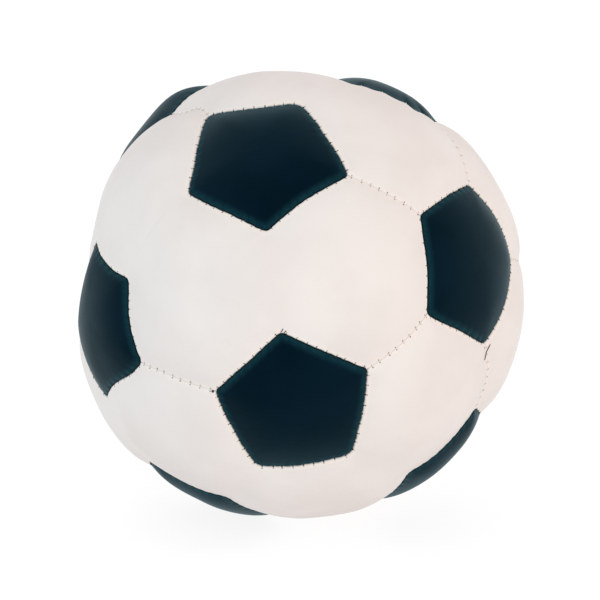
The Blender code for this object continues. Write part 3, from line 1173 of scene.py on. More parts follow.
@dataclass
class PanelShells:
    """The thirty-two leatherette panels, each a shell with its allowance turned in.

    Attributes:
        cover: the stuffed shape that they take.
        thickness: of the leatherette, in metres.
        allowance: depth of the edge turned in at the seams, in metres.
        gap: half the space between two panels in a seam, in metres.
        roll: how far the edge's rounding reaches in, in metres.
        groove: depth of that rounding, in metres.
        shoulder: how far the surface sinks towards a seam, in metres.
        shoulder_reach: how far from the seam it starts to sink, in metres.
        pinch: how far a stitch pulls the surface down, in metres.
        pinch_reach: how far round the stitch it pulls, in metres.
        inner_offsets: distances of the underside's wide rings from the seam, in metres.
        turn_offsets: distances of its close rings from the turned-in edge, in metres.
        turn_slope: over how much it goes down into the turned-in edge, in metres.
        fine_offsets: distances of the surface's close rings from the seam, in metres.
        step: distance between the rings further in, in metres.
        hub_offsets: distances of its last rings from the middle, in metres.
        white_groove: share of the groove that a seam between white panels has.
        tone_shift: how much fainter that seam's painted groove shade and painted sheen band are, as a
            distance in metres.
        pentagon_cut: width and length of a pentagon's cut, in sides.
        strip_cut: width and length of a strip's cut, in sides.
    """

    cover: Cover
    thickness: float = 1.2 * MM
    allowance: float = 5.0 * MM
    gap: float = 0.015 * MM
    roll: float = 0.6 * MM
    groove: float = 0.55 * MM
    shoulder: float = 0.55 * MM
    shoulder_reach: float = 3.0 * MM
    pinch: float = 0.17 * MM
    pinch_reach: float = 0.75 * MM
    inner_offsets: tuple[float, ...] = in_metres(19, 15.5, 12, 9, 6.5, 4.5)
    turn_offsets: tuple[float, ...] = in_metres(1.8, 0.6, 0.35, 0.12, 0.0)
    turn_slope: float = 0.6 * MM
    fine_offsets: tuple[float, ...] = in_metres(0.06, 0.12, 0.2, 0.32, 0.48, 0.68, 0.92, 1.2, 1.55, 2.0)
    step: float = 1.05 * MM
    hub_offsets: tuple[float, ...] = in_metres(3.5, 2.4, 1.4, 0.7)
    white_groove: float = 0.3
    tone_shift: float = 0.5 * MM
    pentagon_cut: tuple[float, float] = (1.54, 1.62)
    strip_cut: tuple[float, float] = (2.6, 6.5)

    def __post_init__(self) -> None:
        """Reads the ball's size."""
        self.plan = self.cover.plan
        self.layout = self.cover.layout

    def groove_share(self, seam: Seam) -> np.ndarray:
        """How much of the full groove a seam has: less between two white panels.

        Args:
            seam: the seam.

        Returns:
            A share for each of its points.
        """
        if seam.kind is SeamKind.DARK_TO_WHITE or not seam.sewn:
            return np.ones(len(seam.line))
        at_end = flat_bell(seam.from_end(self.layout.radius), self.pinch_reach)
        return self.white_groove + (1 - self.white_groove) * at_end

    def sink(self, clear: np.ndarray, near: np.ndarray, groove: np.ndarray) -> np.ndarray:
        """How far the surface lies below the stuffed shape.

        Args:
            clear: distances from the sewing, in metres.
            near: nearness to a stitch.
            groove: share of the full groove.

        Returns:
            Depths, in metres.
        """
        share = np.maximum(0.0, 1 - clear / (self.roll * groove))
        rolled = self.groove * groove * (1 - np.sqrt(1 - share * share))
        settled = self.shoulder * np.exp(-clear / self.shoulder_reach)
        pinched = self.pinch * flat_bell(clear, 1.6 * self.pinch_reach) * near
        return rolled + settled + pinched

    def underside(self, clear: np.ndarray) -> np.ndarray:
        """Depth of the underside: the leatherette's thickness, or more where the edge is turned in.

        Args:
            clear: distances from the sewing, in metres.

        Returns:
            Depths below the surface, in metres.
        """
        deeper = self.groove + self.allowance - self.thickness
        turned = (self.gap + self.thickness + self.turn_slope - clear) / self.turn_slope
        return self.thickness + deeper * smooth_step(turned)

    def shell(self, panel: Panel) -> tuple[np.ndarray, Faces, np.ndarray]:
        """A panel's closed form, left open where its strip goes on into the next hexagon.

        Args:
            panel: the panel.

        Returns:
            Its points, its faces, and each point's tone distance from the sewing.
        """
        radius = self.layout.radius
        width = panel.half_width * radius
        folds = panel.folds()
        near = np.where(folds, 0.0, panel.walk(lambda seam: seam.nearness(self.pinch_reach, radius)))
        groove = np.where(folds, 1.0, panel.walk(self.groove_share))
        rings, tones, open_edge = [], [], []

        def lay(offset: float, stride: int, depth: float = 0.0, edge: bool = False) -> None:
            """One more ring.

            Args:
                offset: its distance in from the seam, in metres.
                stride: takes every so many of the edge's points.
                depth: how far it lies from the surface to the underside, as a share.
                edge: True for a ring of the edge itself, which has no gap at a fold.
            """
            directions = panel.ring(offset, stride, radius)
            here = folds[::stride] & edge
            if edge:
                directions = np.where(here[:, None], panel.ring(0.0, stride, radius), directions)
            clear = panel.clear(np.where(here, 0.0, offset), stride, radius)
            sunk = self.sink(clear, near[::stride], groove[::stride])
            height = self.cover.radius(directions) - sunk * (1 - depth) - self.underside(clear) * depth
            rings.append(self.layout.centre + directions * height[:, None])
            # The tone distance places the painted sheen band and the painted groove shade.
            tones.append(clear + self.tone_shift * (1 - groove[::stride]))
            open_edge.append(here)

        lay(width, len(near), 1.0)
        for offset in self.inner_offsets:
            if offset < width - 3 * MM:
                lay(offset, 8, 1.0)
        for offset in self.turn_offsets:
            lay(self.gap + self.thickness + offset, 4, 1.0)
        for depth, stride in ((1.0, 4), (0.5, 2), (0.15, 1), (0.0, 1)):
            lay(self.gap, stride, depth, True)
        for offset in self.fine_offsets:
            lay(offset, 1)
        start, end = self.fine_offsets[-1], width - self.hub_offsets[0]
        for offset in np.linspace(start, end, round((end - start) / self.step) + 1)[1:]:
            lay(float(offset), 2)
        for offset, stride in zip(self.hub_offsets[1:], (4, 8, 16), strict=True):
            lay(width - offset, stride)
        lay(width, len(near))
        points, faces = closed_rings(rings)
        marks = np.concatenate(open_edge)
        return points, [face for face in faces if not marks[list(face)].all()], np.concatenate(tones)

    def build(self, dark: bpy.types.Material, white: bpy.types.Material) -> list[bpy.types.Object]:
        """Every panel and strip, finished and standing for its CAD nodes.

        Args:
            dark: finish of the pentagons.
            white: finish of the strips.

        Returns:
            The pieces.
        """
        made, counts = [], {True: 0, False: 0}
        for group in self.plan.pieces():
            points, faces, tones = [], [], []
            for panel in group:
                first = sum(map(len, points))
                rows, cells, tone = self.shell(panel)
                points.append(rows)
                faces += [tuple(first + n for n in cell) for cell in cells]
                tones.append(tone)
            is_dark = group[0].kind is PanelKind.PENTAGON
            counts[is_dark] += 1
            name = f"{'dark_panel' if is_dark else 'white_strip'}_{counts[is_dark]:02d}"
            piece = piece_from(name, np.vstack(points), faces, dark if is_dark else white,
                               seam_offset=np.concatenate(tones))
            self.joined(piece)
            slot = "dark_leatherette" if is_dark else "white_leatherette"
            made.append(hand_over(piece, slot, *(panel.node for panel in group)))
            self.declare(piece, group)
        return made

    def declare(self, piece: bpy.types.Object, group: Sequence[Panel]) -> None:
        """Logs how big the pentagon's or strip's cut is, and its area.

        Args:
            piece: the pentagon or the strip.
            group: its panels.
        """
        radius, lengths, area = self.layout.radius, [], 0.0
        for panel in group:
            for seam, _ in panel.sides:
                lengths.append(float(seam.along(radius)[-1]))
                area += lengths[-1] * (panel.half_width * radius / 2 + self.allowance * seam.sewn)
        cut = self.pentagon_cut if len(group) == 1 else self.strip_cut
        flat = tuple(sides * float(np.mean(lengths)) + 2 * self.allowance for sides in cut)
        touches = {"upper": any(panel.middle[2] > 0 for panel in group),
                   "lower": any(panel.middle[2] < 0 for panel in group)}
        LOG.info("%s: cut from %.0f x %.0f mm, %.0f square mm", piece.name, flat[0] / MM, flat[1] / MM,
                 area / MM**2)

    def joined(self, piece: bpy.types.Object) -> None:
        """Joins a strip's hexagons at their shared edges.

        Args:
            piece: the pentagon or the strip, changed in place.
        """
        work = bmesh.new()
        work.from_mesh(piece.data)
        loose = [vertex for vertex in work.verts if not vertex.link_faces]
        bmesh.ops.delete(work, geom=loose, context="VERTS")
        edges = {vertex for edge in work.edges if edge.is_boundary for vertex in edge.verts}
        bmesh.ops.remove_doubles(work, verts=list(edges), dist=0.01 * MM)
        uneven = sum(1 for edge in work.edges if not edge.is_contiguous)
        LOG.info("%s: %d edges open or turned", piece.name, uneven)
        work.to_mesh(piece.data)
        work.free()


class PieceTree:
    """A Geometry Nodes tree that turns a carrier mesh into one finished piece."""

    def __init__(self, name: str, sizes: dict[str, float]) -> None:
        """Starts the tree with its named inputs.

        Args:
            name: the tree's name.
            sizes: its inputs, in metres.
        """
        self.sizes = sizes
        self.tree = bpy.data.node_groups.new(name, "GeometryNodeTree")
        kinds = {"Geometry": "Geometry", **dict.fromkeys(sizes, "Float"), "Finish": "Material"}
        add_socket = self.tree.interface.new_socket
        self.sockets = {label: add_socket(label, in_out="INPUT", socket_type=f"NodeSocket{kind}").identifier
                        for label, kind in kinds.items()}
        add_socket("Geometry", in_out="OUTPUT", socket_type="NodeSocketGeometry")
        self.graph = Graph(self.tree)
        self.given = self.graph.add("NodeGroupInput").outputs

    def tube(self, path: bpy.types.NodeSocket) -> bpy.types.NodeSocket:
        """A round thread along a curve."""
        profile = self.graph.out("GeometryNodeCurvePrimitiveCircle",
                                 {"Resolution": 6, "Radius": self.given["Thickness"]})
        inputs = {"Curve": path, "Profile Curve": profile, "Fill Caps": True}
        return self.graph.out("GeometryNodeCurveToMesh", inputs)

    def finish(self, shape: bpy.types.NodeSocket) -> None:
        """Realises the shape, gives it its finish and ends the tree."""
        real = self.graph.out("GeometryNodeRealizeInstances", {"Geometry": shape})
        inputs = {"Geometry": real, "Material": self.given["Finish"]}
        done = self.graph.out("GeometryNodeSetMaterial", inputs)
        self.graph.add("NodeGroupOutput", {"Geometry": done})

    def grown(self, name: str, carrier: bpy.types.Object, finish: bpy.types.Material) -> bpy.types.Object:
        """The tree's result on a carrier, as a plain mesh object.

        Args:
            name: the new piece's name.
            carrier: what the tree works on, removed at the end.
            finish: the material.

        Returns:
            The new piece.
        """
        modifier = carrier.modifiers.new("tree", "NODES")
        modifier.node_group = self.tree
        for label, value in self.sizes.items():
            modifier[self.sockets[label]] = value
        modifier[self.sockets["Finish"]] = finish
        graph = bpy.context.evaluated_depsgraph_get()
        mesh = bpy.data.meshes.new_from_object(carrier.evaluated_get(graph), depsgraph=graph)
        bpy.data.objects.remove(carrier)
        mesh.name = name
        mesh.polygons.foreach_set("use_smooth", np.ones(len(mesh.polygons), bool))
        return linked(name, mesh)


class RepeatTree(PieceTree):
    """Sets one small shape at every point of a mesh.

    The points carry the directions "across" and "outward" that turn the shape's X and Z.
    """

    def thread_shape(self) -> bpy.types.NodeSocket:
        """A stitch: a thread that comes up from one hole and goes down into the other."""
        add, times = self.graph.out, partial(self.graph.math, "MULTIPLY")
        half = times(self.given["Span"], 0.5)
        below = times(self.given["Dip"], -1.0)
        top = self.graph.math("ADD", times(self.given["Rise"], 2.0), self.given["Dip"])
        path = add("GeometryNodeCurveQuadraticBezier", {
            "Resolution": 6, "Start": add("ShaderNodeCombineXYZ", {"X": times(half, -1.0), "Z": below}),
            "Middle": add("ShaderNodeCombineXYZ", {"Z": top}),
            "End": add("ShaderNodeCombineXYZ", {"X": half, "Z": below})})
        return self.tube(path)

    def cup_shape(self) -> bpy.types.NodeSocket:
        """A needle hole: a shallow cup, dark with painted shade."""
        return self.graph.out("GeometryNodeMeshCone", {
            "Vertices": 9, "Radius Top": self.graph.math("MULTIPLY", self.given["Radius"], 0.7),
            "Radius Bottom": self.given["Radius"], "Depth": self.given["Depth"]})

    def grain_shape(self) -> bpy.types.NodeSocket:
        """A grain of sand, or a knot."""
        inputs = {"Radius": self.given["Radius"], "Subdivisions": 1}
        return self.graph.out("GeometryNodeMeshIcoSphere", inputs)

    def close(self, shape: bpy.types.NodeSocket, spread: float) -> None:
        """Sets the shape at the points and ends the tree.

        Args:
            shape: the mesh to repeat.
            spread: how much its size varies, as a share.
        """
        add = self.graph.out
        across, outward = (add("GeometryNodeInputNamedAttribute", {"Name": name}, data_type="FLOAT_VECTOR")
                           for name in ("across", "outward"))
        turned = add("FunctionNodeAlignRotationToVector", {"Vector": across}, axis="X")
        turned = add("FunctionNodeAlignRotationToVector", {"Rotation": turned, "Vector": outward},
                     axis="Z", pivot_axis="X")
        size = add("FunctionNodeRandomValue", {2: 1 - spread, 3: 1 + spread, "Seed": SEED}, 1,
                   data_type="FLOAT")
        self.finish(add("GeometryNodeInstanceOnPoints", {
            "Points": self.given["Geometry"], "Instance": shape, "Rotation": turned, "Scale": size}))

    def run(self, name: str, points: np.ndarray, across: np.ndarray, outward: np.ndarray,
            finish: bpy.types.Material) -> bpy.types.Object:
        """The shape at every point, its X turned across and its Z outward, as a plain piece."""
        carrier = piece_from(name + "_points", points, [], None, across=across, outward=outward)
        return self.grown(name, carrier, finish)


class StrandTree(PieceTree):
    """Runs a round thread along the edges of a mesh."""

    def __init__(self, name: str, thickness: float) -> None:
        """Builds the tree for a thread of this radius, in metres."""
        super().__init__(name, {"Thickness": thickness})
        self.finish(self.tube(self.graph.out("GeometryNodeMeshToCurve", {"Mesh": self.given["Geometry"]})))

    def run(self, name: str, paths: Sequence[np.ndarray], finish: bpy.types.Material) -> bpy.types.Object:
        """A thread along each path, as one plain mesh object.

        Args:
            name: the new piece's name.
            paths: rows of points; a path whose ends meet is closed.
            finish: its material.

        Returns:
            The new piece.
        """
        points, edges = [], []
        for path in paths:
            first, closed = len(points), bool(np.linalg.norm(path[0] - path[-1]) < 1e-7)
            rows = path[:-1] if closed else path
            points += rows.tolist()
            edges += itertools.pairwise(range(first, len(points)))
            if closed:
                edges.append((len(points) - 1, first))
        mesh = bpy.data.meshes.new(name + "_paths")
        mesh.from_pydata(points, edges, [])
        return self.grown(name, linked(name + "_paths", mesh), finish)


@dataclass
class Stitching:
    """The thread in the seams, the stitches over them and the needle's holes.

    Attributes:
        shells: the panels that are sewn.
        thread: radius of the thread, in metres.
        white_span: width of a stitch between two white panels, in metres.
        dark_span: width of a stitch between a dark and a white panel, in metres.
        closing_span: width of a stitch on the seam closed by hand, in metres.
        hole: radius of a needle hole, in metres.
        white_hole: distance of the holes from a seam between white panels, in metres.
        dark_hole: distance of the holes from a dark panel's seam, in metres.
        hole_depth: depth of a needle hole, in metres.
        strand_depth: how deep the thread runs in the seam, in metres.
        rise: how far a stitch stands up from its holes, in metres.
        dip: how far its ends go down into them, in metres.
        dark_thickness: of the stitches on dark edges, against the thread's own.
        dark_shift: how far they lie towards the white side, as a share of their width.
        tail_radius: radius of the loose ends, in metres.
        tail_lift: how far they lie over the surface, in metres.
        knot_radius: of a knot, against the thread's own.
        tails: loose ends of thread, each as directions along it.
        knots: directions of the knots that show.
    """

    shells: PanelShells
    thread: float = 0.15 * MM
    white_span: float = 0.9 * MM
    dark_span: float = 0.66 * MM
    closing_span: float = 1.5 * MM
    hole: float = 0.2 * MM
    white_hole: float = 0.55 * MM
    dark_hole: float = 0.72 * MM
    hole_depth: float = 0.03 * MM
    strand_depth: float = 2.2 * MM
    rise: float = 0.1 * MM
    dip: float = 0.45 * MM
    dark_thickness: float = 1.3
    dark_shift: float = 0.16
    tail_radius: float = 0.13 * MM
    tail_lift: float = 0.1 * MM
    knot_radius: float = 3.0
    tails: tuple[tuple[Triple, ...], ...] = (
        ((-0.056, -0.986, 0.154), (-0.052, -0.985, 0.16), (-0.047, -0.984, 0.168)),
        ((-0.044, -0.988, 0.149), (-0.04, -0.987, 0.155), (-0.034, -0.986, 0.161)),
        ((0.835, -0.548, -0.048), (0.825, -0.561, -0.078), (0.809, -0.577, -0.109)))
    knots: tuple[Triple, ...] = ((-0.343, -0.931, -0.128),)

    def __post_init__(self) -> None:
        """Reads the ball's centre and radius."""
        self.centre = self.shells.layout.centre
        self.radius = self.shells.layout.radius

    def surface(self, panels: Sequence[bpy.types.Object]) -> None:
        """Keeps the finished panels for finding their surface.

        Args:
            panels: the panels' objects.
        """
        points, faces = [], []
        for panel in panels:
            first = len(points)
            points += [v.co for v in panel.data.vertices]
            faces += [tuple(first + n for n in face.vertices) for face in panel.data.polygons]
        self.tree = BVHTree.FromPolygons(points, faces)

    def on_surface(self, directions: np.ndarray) -> np.ndarray:
        """The cover's outermost points in these directions.

        Args:
            directions: unit rows from the ball's centre.

        Returns:
            Points in rows, in metres.
        """
        far = self.centre + directions * 2 * self.radius
        hits = [self.tree.ray_cast(Vector(point), Vector(-row))[0]
                for point, row in zip(far.tolist(), directions, strict=True)]
        return np.array([hit if hit else self.centre + row * self.radius
                         for hit, row in zip(hits, directions, strict=True)])

    def build(self, pale: bpy.types.Material, dark: bpy.types.Material,
              pit: bpy.types.Material) -> list[bpy.types.Object]:
        """Strands, stitches, holes, loose ends and knots.

        Args:
            pale: finish of the thread.
            dark: finish of the thread on the dark edges and of the loose ends.
            pit: finish of the needle's holes, dark with painted shade.

        Returns:
            The pieces.
        """
        seams = [seam for seam in self.shells.plan.seams if seam.sewn]
        closing = [seam for seam in seams if seam.closing]
        by_machine = [seam for seam in seams if not seam.closing]
        white = [seam for seam in by_machine if seam.kind is SeamKind.WHITE_TO_WHITE]
        edges = [seam for seam in by_machine if seam.kind is SeamKind.DARK_TO_WHITE]
        made = []
        strand = StrandTree("seam strand", self.thread)
        for name, sewn, node in (("seam_strand", by_machine, "seam_thread"),
                                 ("closing_strand", closing, "closing_seam_thread")):
            paths = [self.under(seam.line) for seam in sewn]
            made.append(hand_over(strand.run(name, paths, pale), "seam_thread", node))
        made += [self.stitches("white_seam_stitches", white, self.white_span, pale),
                 self.stitches("dark_seam_stitches", edges, self.dark_span, dark,
                               self.dark_thickness, self.dark_shift),
                 self.stitches("closing_seam_stitches", closing, self.closing_span, pale),
                 self.holes(seams, pit)]
        ends = StrandTree("loose end", self.tail_radius)
        tails = [unit(np.array(tail)) for tail in self.tails]
        paths = [self.on_surface(tail) + tail * self.tail_lift for tail in tails]
        made.append(hand_over(ends.run("thread_ends", paths, dark), "seam_thread"))
        outward = unit(np.array(self.knots))
        repeat = RepeatTree("knot", {"Radius": self.knot_radius * self.thread})
        repeat.close(repeat.grain_shape(), 0.1)
        across = unit(np.cross(outward, (0, 0, 1)))
        knots = repeat.run("knots", self.on_surface(outward), across, outward, dark)
        made.append(hand_over(knots, "seam_thread"))
        return made

    def stitches(self, name: str, seams: Sequence[Seam], span: float, finish: bpy.types.Material,
                 thickness: float = 1.0, shift: float = 0.0) -> bpy.types.Object:
        """The stitches over some of the seams.

        Args:
            name: the piece's name.
            seams: the seams that they cross.
            span: width of a stitch, in metres.
            finish: of the thread.
            thickness: of the thread, against its usual one.
            shift: how far they lie towards the white side, as a share of the span.

        Returns:
            The piece.
        """
        repeat = RepeatTree(name, {"Span": span, "Thickness": self.thread * thickness, "Rise": self.rise,
                                   "Dip": self.dip})
        repeat.close(repeat.thread_shape(), 0.12)
        spots = [self.spots(seam, span * shift) for seam in seams]
        rows = [np.vstack(row) for row in zip(*spots, strict=True)]
        return hand_over(repeat.run(name, *rows, finish), "seam_thread")

    def holes(self, seams: Sequence[Seam], pit: bpy.types.Material) -> bpy.types.Object:
        """The needle's holes, as dark cups of painted shade: on both sides of a white seam, and on the
        white side of a dark edge.

        Args:
            seams: every sewn seam.
            pit: their finish.

        Returns:
            The piece.
        """
        spots = []
        for seam in seams:
            if seam.kind is SeamKind.WHITE_TO_WHITE:
                spots += [self.spots(seam, self.white_hole), self.spots(seam, -self.white_hole)]
            else:
                spots.append(self.spots(seam, self.dark_hole))
        points, across, outward = (np.vstack(rows) for rows in zip(*spots, strict=True))
        points = self.on_surface(unit(points - self.centre))
        repeat = RepeatTree("needle hole", {"Radius": self.hole, "Depth": self.hole_depth})
        repeat.close(repeat.cup_shape(), 0.3)
        return hand_over(repeat.run("needle_holes", points, across, outward, pit), "seam_thread")

    def under(self, line: np.ndarray) -> np.ndarray:
        """A path down in a seam."""
        height = self.shells.cover.radius(line) - self.shells.groove - self.strand_depth
        return (self.centre + line * height[:, None])[::2]

    def spots(self, seam: Seam, offset: float) -> tuple[np.ndarray, np.ndarray, np.ndarray]:
        """Where a seam's stitches are, moved across the seam.

        Args:
            seam: the seam.
            offset: how far towards the white side, in metres.

        Returns:
            Points just over the seam, directions across it, and directions outward.
        """
        middle = seam.at(seam.line, seam.stitches)
        across = seam.at(seam.side, seam.stitches)
        directions = unit(middle + across * offset / self.radius)
        shells = self.shells
        height = shells.cover.radius(directions) - shells.shoulder - shells.pinch
        return self.centre + directions * height[:, None], across, directions


@dataclass
class Stuffing:
    """What is inside: two halves of wadding, and a sewn bag of sand between them.

    Attributes:
        cover: the stuffed cover.
        shells: its panels.
        turns: points round each half.
        lump: height of the wadding's lumps, in metres.
        lump_size: their size, in metres.
        cover_play: room between the cover and the wadding, in metres.
        seam_play: room beside the turned-in edges, in metres.
        seam_slope: over how much the wadding comes up again beside them, in metres.
        parting: half the space between the two halves, in metres.
        cloth: thickness of the bag's canvas, in metres.
        bag_play: room between the sand and the bag, in metres.
        hem_gap: half the space between the two hems, in metres.
        gathers: folds round the bag where it is gathered.
        fold: height of those folds, in metres.
        fullness: size of the bag's cut, against the bag's width.
        bag_pitch: distance between the bag's stitches, in metres.
        grains: loose grains on the sand.
        grain: radius of a grain, in metres.
    """

    cover: Cover
    shells: PanelShells
    turns: int = 192
    lump: float = 0.5 * MM
    lump_size: float = 5 * MM
    cover_play: float = 0.9 * MM
    seam_play: float = 1.6 * MM
    seam_slope: float = 1.2 * MM
    parting: float = 0.25 * MM
    cloth: float = 0.6 * MM
    bag_play: float = 0.25 * MM
    hem_gap: float = 0.03 * MM
    gathers: int = 32
    fold: float = 0.5 * MM
    fullness: float = 1.3
    bag_pitch: float = 3.2 * MM
    grains: int = 4000
    grain: float = 0.45 * MM

    def __post_init__(self) -> None:
        """Reads the sizes of the bag and its filling."""
        self.centre = self.shells.layout.centre
        low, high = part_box("weight_fill")
        self.fill_radius = (high.x - low.x) / 2
        low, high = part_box("weight_bag_upper")
        self.bag_reach = (high.x - low.x) / 2
        self.bag_height = high.z - self.centre[2]
        self.bag_foot = low.z - self.centre[2]

    def turn(self, angle: float, side: int) -> np.ndarray:
        """A ring of directions.

        Args:
            angle: its angle from the pole.
            side: 1 from the upper pole, -1 from the lower.

        Returns:
            Unit rows, or one row at a pole.
        """
        rows = circle(self.turns, side) * math.sin(angle)
        rows[:, 2] = math.cos(angle) * side
        return rows[:1] if angle in (0, math.pi) else rows

    def level(self, reach: float, height: float, side: int) -> np.ndarray:
        """A level ring, so far out and so far from the ball's middle plane."""
        rows = self.turn(math.pi / 2, side) * reach
        rows[:, 2] = side * height
        return rows

    def lathed(self, name: str, rings: Sequence[np.ndarray],
               material: bpy.types.Material) -> bpy.types.Object:
        """A closed piece through rings that start at its outer pole."""
        points, faces = closed_rings(rings)
        return piece_from(name, points + self.centre, [face[::-1] for face in faces], material)

    def give(self, directions: np.ndarray) -> np.ndarray:
        """How far the wadding gives way under the turned-in edges.

        Args:
            directions: unit rows from the ball's centre.

        Returns:
            Depths, in metres.
        """
        lines = np.vstack([seam.line[::4] for seam in self.shells.plan.seams if seam.sewn])
        nearest = np.clip((directions @ lines.T).max(axis=1), -1, 1)
        away = np.arccos(nearest) * self.shells.layout.radius
        share = (self.shells.thickness + self.seam_play + self.seam_slope - away) / self.seam_slope
        return (self.shells.groove + self.shells.allowance + 0.5 * MM) * smooth_step(share)

    def wadding_half(self, name: str, side: int, material: bpy.types.Material) -> bpy.types.Object:
        """Half of the wadding, a bowl round the bag.

        Args:
            name: its name.
            side: 1 for the upper half, -1 for the lower.
            material: its finish.

        Returns:
            The piece.
        """
        rings = []
        for angle in np.linspace(0, math.pi / 2, 60):
            directions = self.turn(float(angle), side)
            height = self.cover.radius(directions) - self.shells.thickness - self.shells.shoulder
            height -= self.cover_play + self.give(directions)
            height -= self.lump * (0.5 + 0.5 * rough(directions * 0.07, self.lump_size))
            rings.append(directions * height[:, None])
        rings[-1][:, 2] = side * self.parting
        brim = float(np.linalg.norm(rings[-1], axis=1).mean()) - 3 * MM
        rings += [self.level(float(reach), self.parting, side)
                  for reach in np.linspace(brim, self.bag_reach + 1.0 * MM, 4)]
        rings.append(self.level(self.bag_reach + 0.7 * MM, abs(self.bag_foot) + 1.6 * MM, side))
        hollow = self.bag_height + 0.8 * MM
        rings += [self.turn(float(angle), side) * hollow for angle in np.linspace(math.pi / 2, 0, 30)[2:]]
        return self.lathed(name, rings, material)

    def build(self, wadding: bpy.types.Material, canvas: bpy.types.Material, thread: bpy.types.Material,
              sand: bpy.types.Material) -> list[bpy.types.Object]:
        """Every inner piece.

        Args:
            wadding: finish of the wadding.
            canvas: finish of the bag.
            thread: finish of the bag's stitches.
            sand: finish of the filling.

        Returns:
            The pieces.
        """
        made = []
        for word, side in (("upper", 1), ("lower", -1)):
            half = self.wadding_half(f"wadding_{word}_half", side, wadding)
            made.append(hand_over(half, "wadding", f"wadding_{word}"))
            bag = self.bag_half(f"bag_{word}_half", side, canvas)
            made.append(hand_over(bag, "bag_canvas", f"weight_bag_{word}"))
        made.append(self.bag_stitches(thread))
        made += self.filling(sand)
        return made

    def bag_half(self, name: str, side: int, material: bpy.types.Material) -> bpy.types.Object:
        """Half of the sand bag, gathered to a flat hem at its middle.

        Args:
            name: its name.
            side: 1 for the upper half, -1 for the lower.
            material: its finish.

        Returns:
            The piece.
        """
        inner = self.fill_radius + self.bag_play
        outer = inner + self.cloth
        wave = 0.5 + 0.5 * np.sin(np.linspace(0, 2 * math.pi, self.turns, endpoint=False) * self.gathers)
        rings = []
        for angle in np.linspace(0, 0.485 * math.pi, 40):
            rows = self.turn(float(angle), side)
            fold = self.fold * math.exp(-(math.pi / 2 - angle) / 0.16) * wave[:len(rows)]
            crumple = self.fold * 0.4 * rough(rows * outer, 9 * MM, SEED + 3)
            rings.append(rows * (outer + fold + np.maximum(crumple, 0))[:, None])
        top, brim = self.cloth + self.hem_gap, self.bag_reach - 0.15 * MM
        hem = ((outer + 0.5 * MM, top + 0.3 * MM), (outer + 1.4 * MM, top), (brim, top),
               (self.bag_reach, top / 2), (brim, self.hem_gap), (inner + 0.3 * MM, self.hem_gap))
        rings += [self.level(reach, height, side) for reach, height in hem]
        rings += [self.turn(float(angle), side) * inner for angle in np.linspace(0.49 * math.pi, 0, 34)]
        return self.lathed(name, rings, material)

    def bag_stitches(self, thread: bpy.types.Material) -> bpy.types.Object:
        """The running stitches round both sides of the bag's hem.

        Args:
            thread: their finish.

        Returns:
            The piece.
        """
        spots = circle(round(2 * math.pi * self.bag_reach / self.bag_pitch))
        height = np.array((0.0, 0.0, self.cloth + self.hem_gap))
        ring = spots * (self.bag_reach - 1.6 * MM)
        along = np.cross((0.0, 0.0, 1.0), spots)
        up = np.tile((0.0, 0.0, 1.0), (len(spots), 1))
        repeat = RepeatTree("bag stitch", {"Span": self.bag_pitch * 0.62, "Thickness": 0.2 * MM,
                                           "Rise": 0.1 * MM, "Dip": 0.35 * MM})
        repeat.close(repeat.thread_shape(), 0.05)
        made = repeat.run("bag_stitches", np.vstack([ring + height, ring - height]) + self.centre,
                          np.vstack([along, along]), np.vstack([up, -up]), thread)
        return hand_over(made, "bag_thread", "weight_bag_thread")

    def filling(self, sand: bpy.types.Material) -> list[bpy.types.Object]:
        """The sand, a settled mass with loose grains on it.

        Args:
            sand: its finish.

        Returns:
            The mass and the grains.
        """
        radius = self.fill_radius - 1.1 * MM
        rings = []
        for angle in np.linspace(0, math.pi, 90):
            rows = self.turn(float(angle), 1)
            rings.append(rows * (radius + 0.5 * MM * rough(rows * radius, 6 * MM, SEED + 5))[:, None])
        mass = hand_over(self.lathed("sand_filling", rings, sand), "weight_fill", "weight_fill")
        random = np.random.default_rng(SEED)
        spots = unit(random.normal(0, 1, (self.grains, 3)))
        height = radius + random.uniform(0.1, 0.55, self.grains) * MM
        repeat = RepeatTree("sand grain", {"Radius": self.grain})
        repeat.close(repeat.grain_shape(), 0.35)
        grains = repeat.run("sand_grains", self.centre + spots * height[:, None],
                            unit(np.cross(spots, (0.3, 0.2, 0.9))), spots, sand)
        return [mass, hand_over(grains, "weight_fill")]


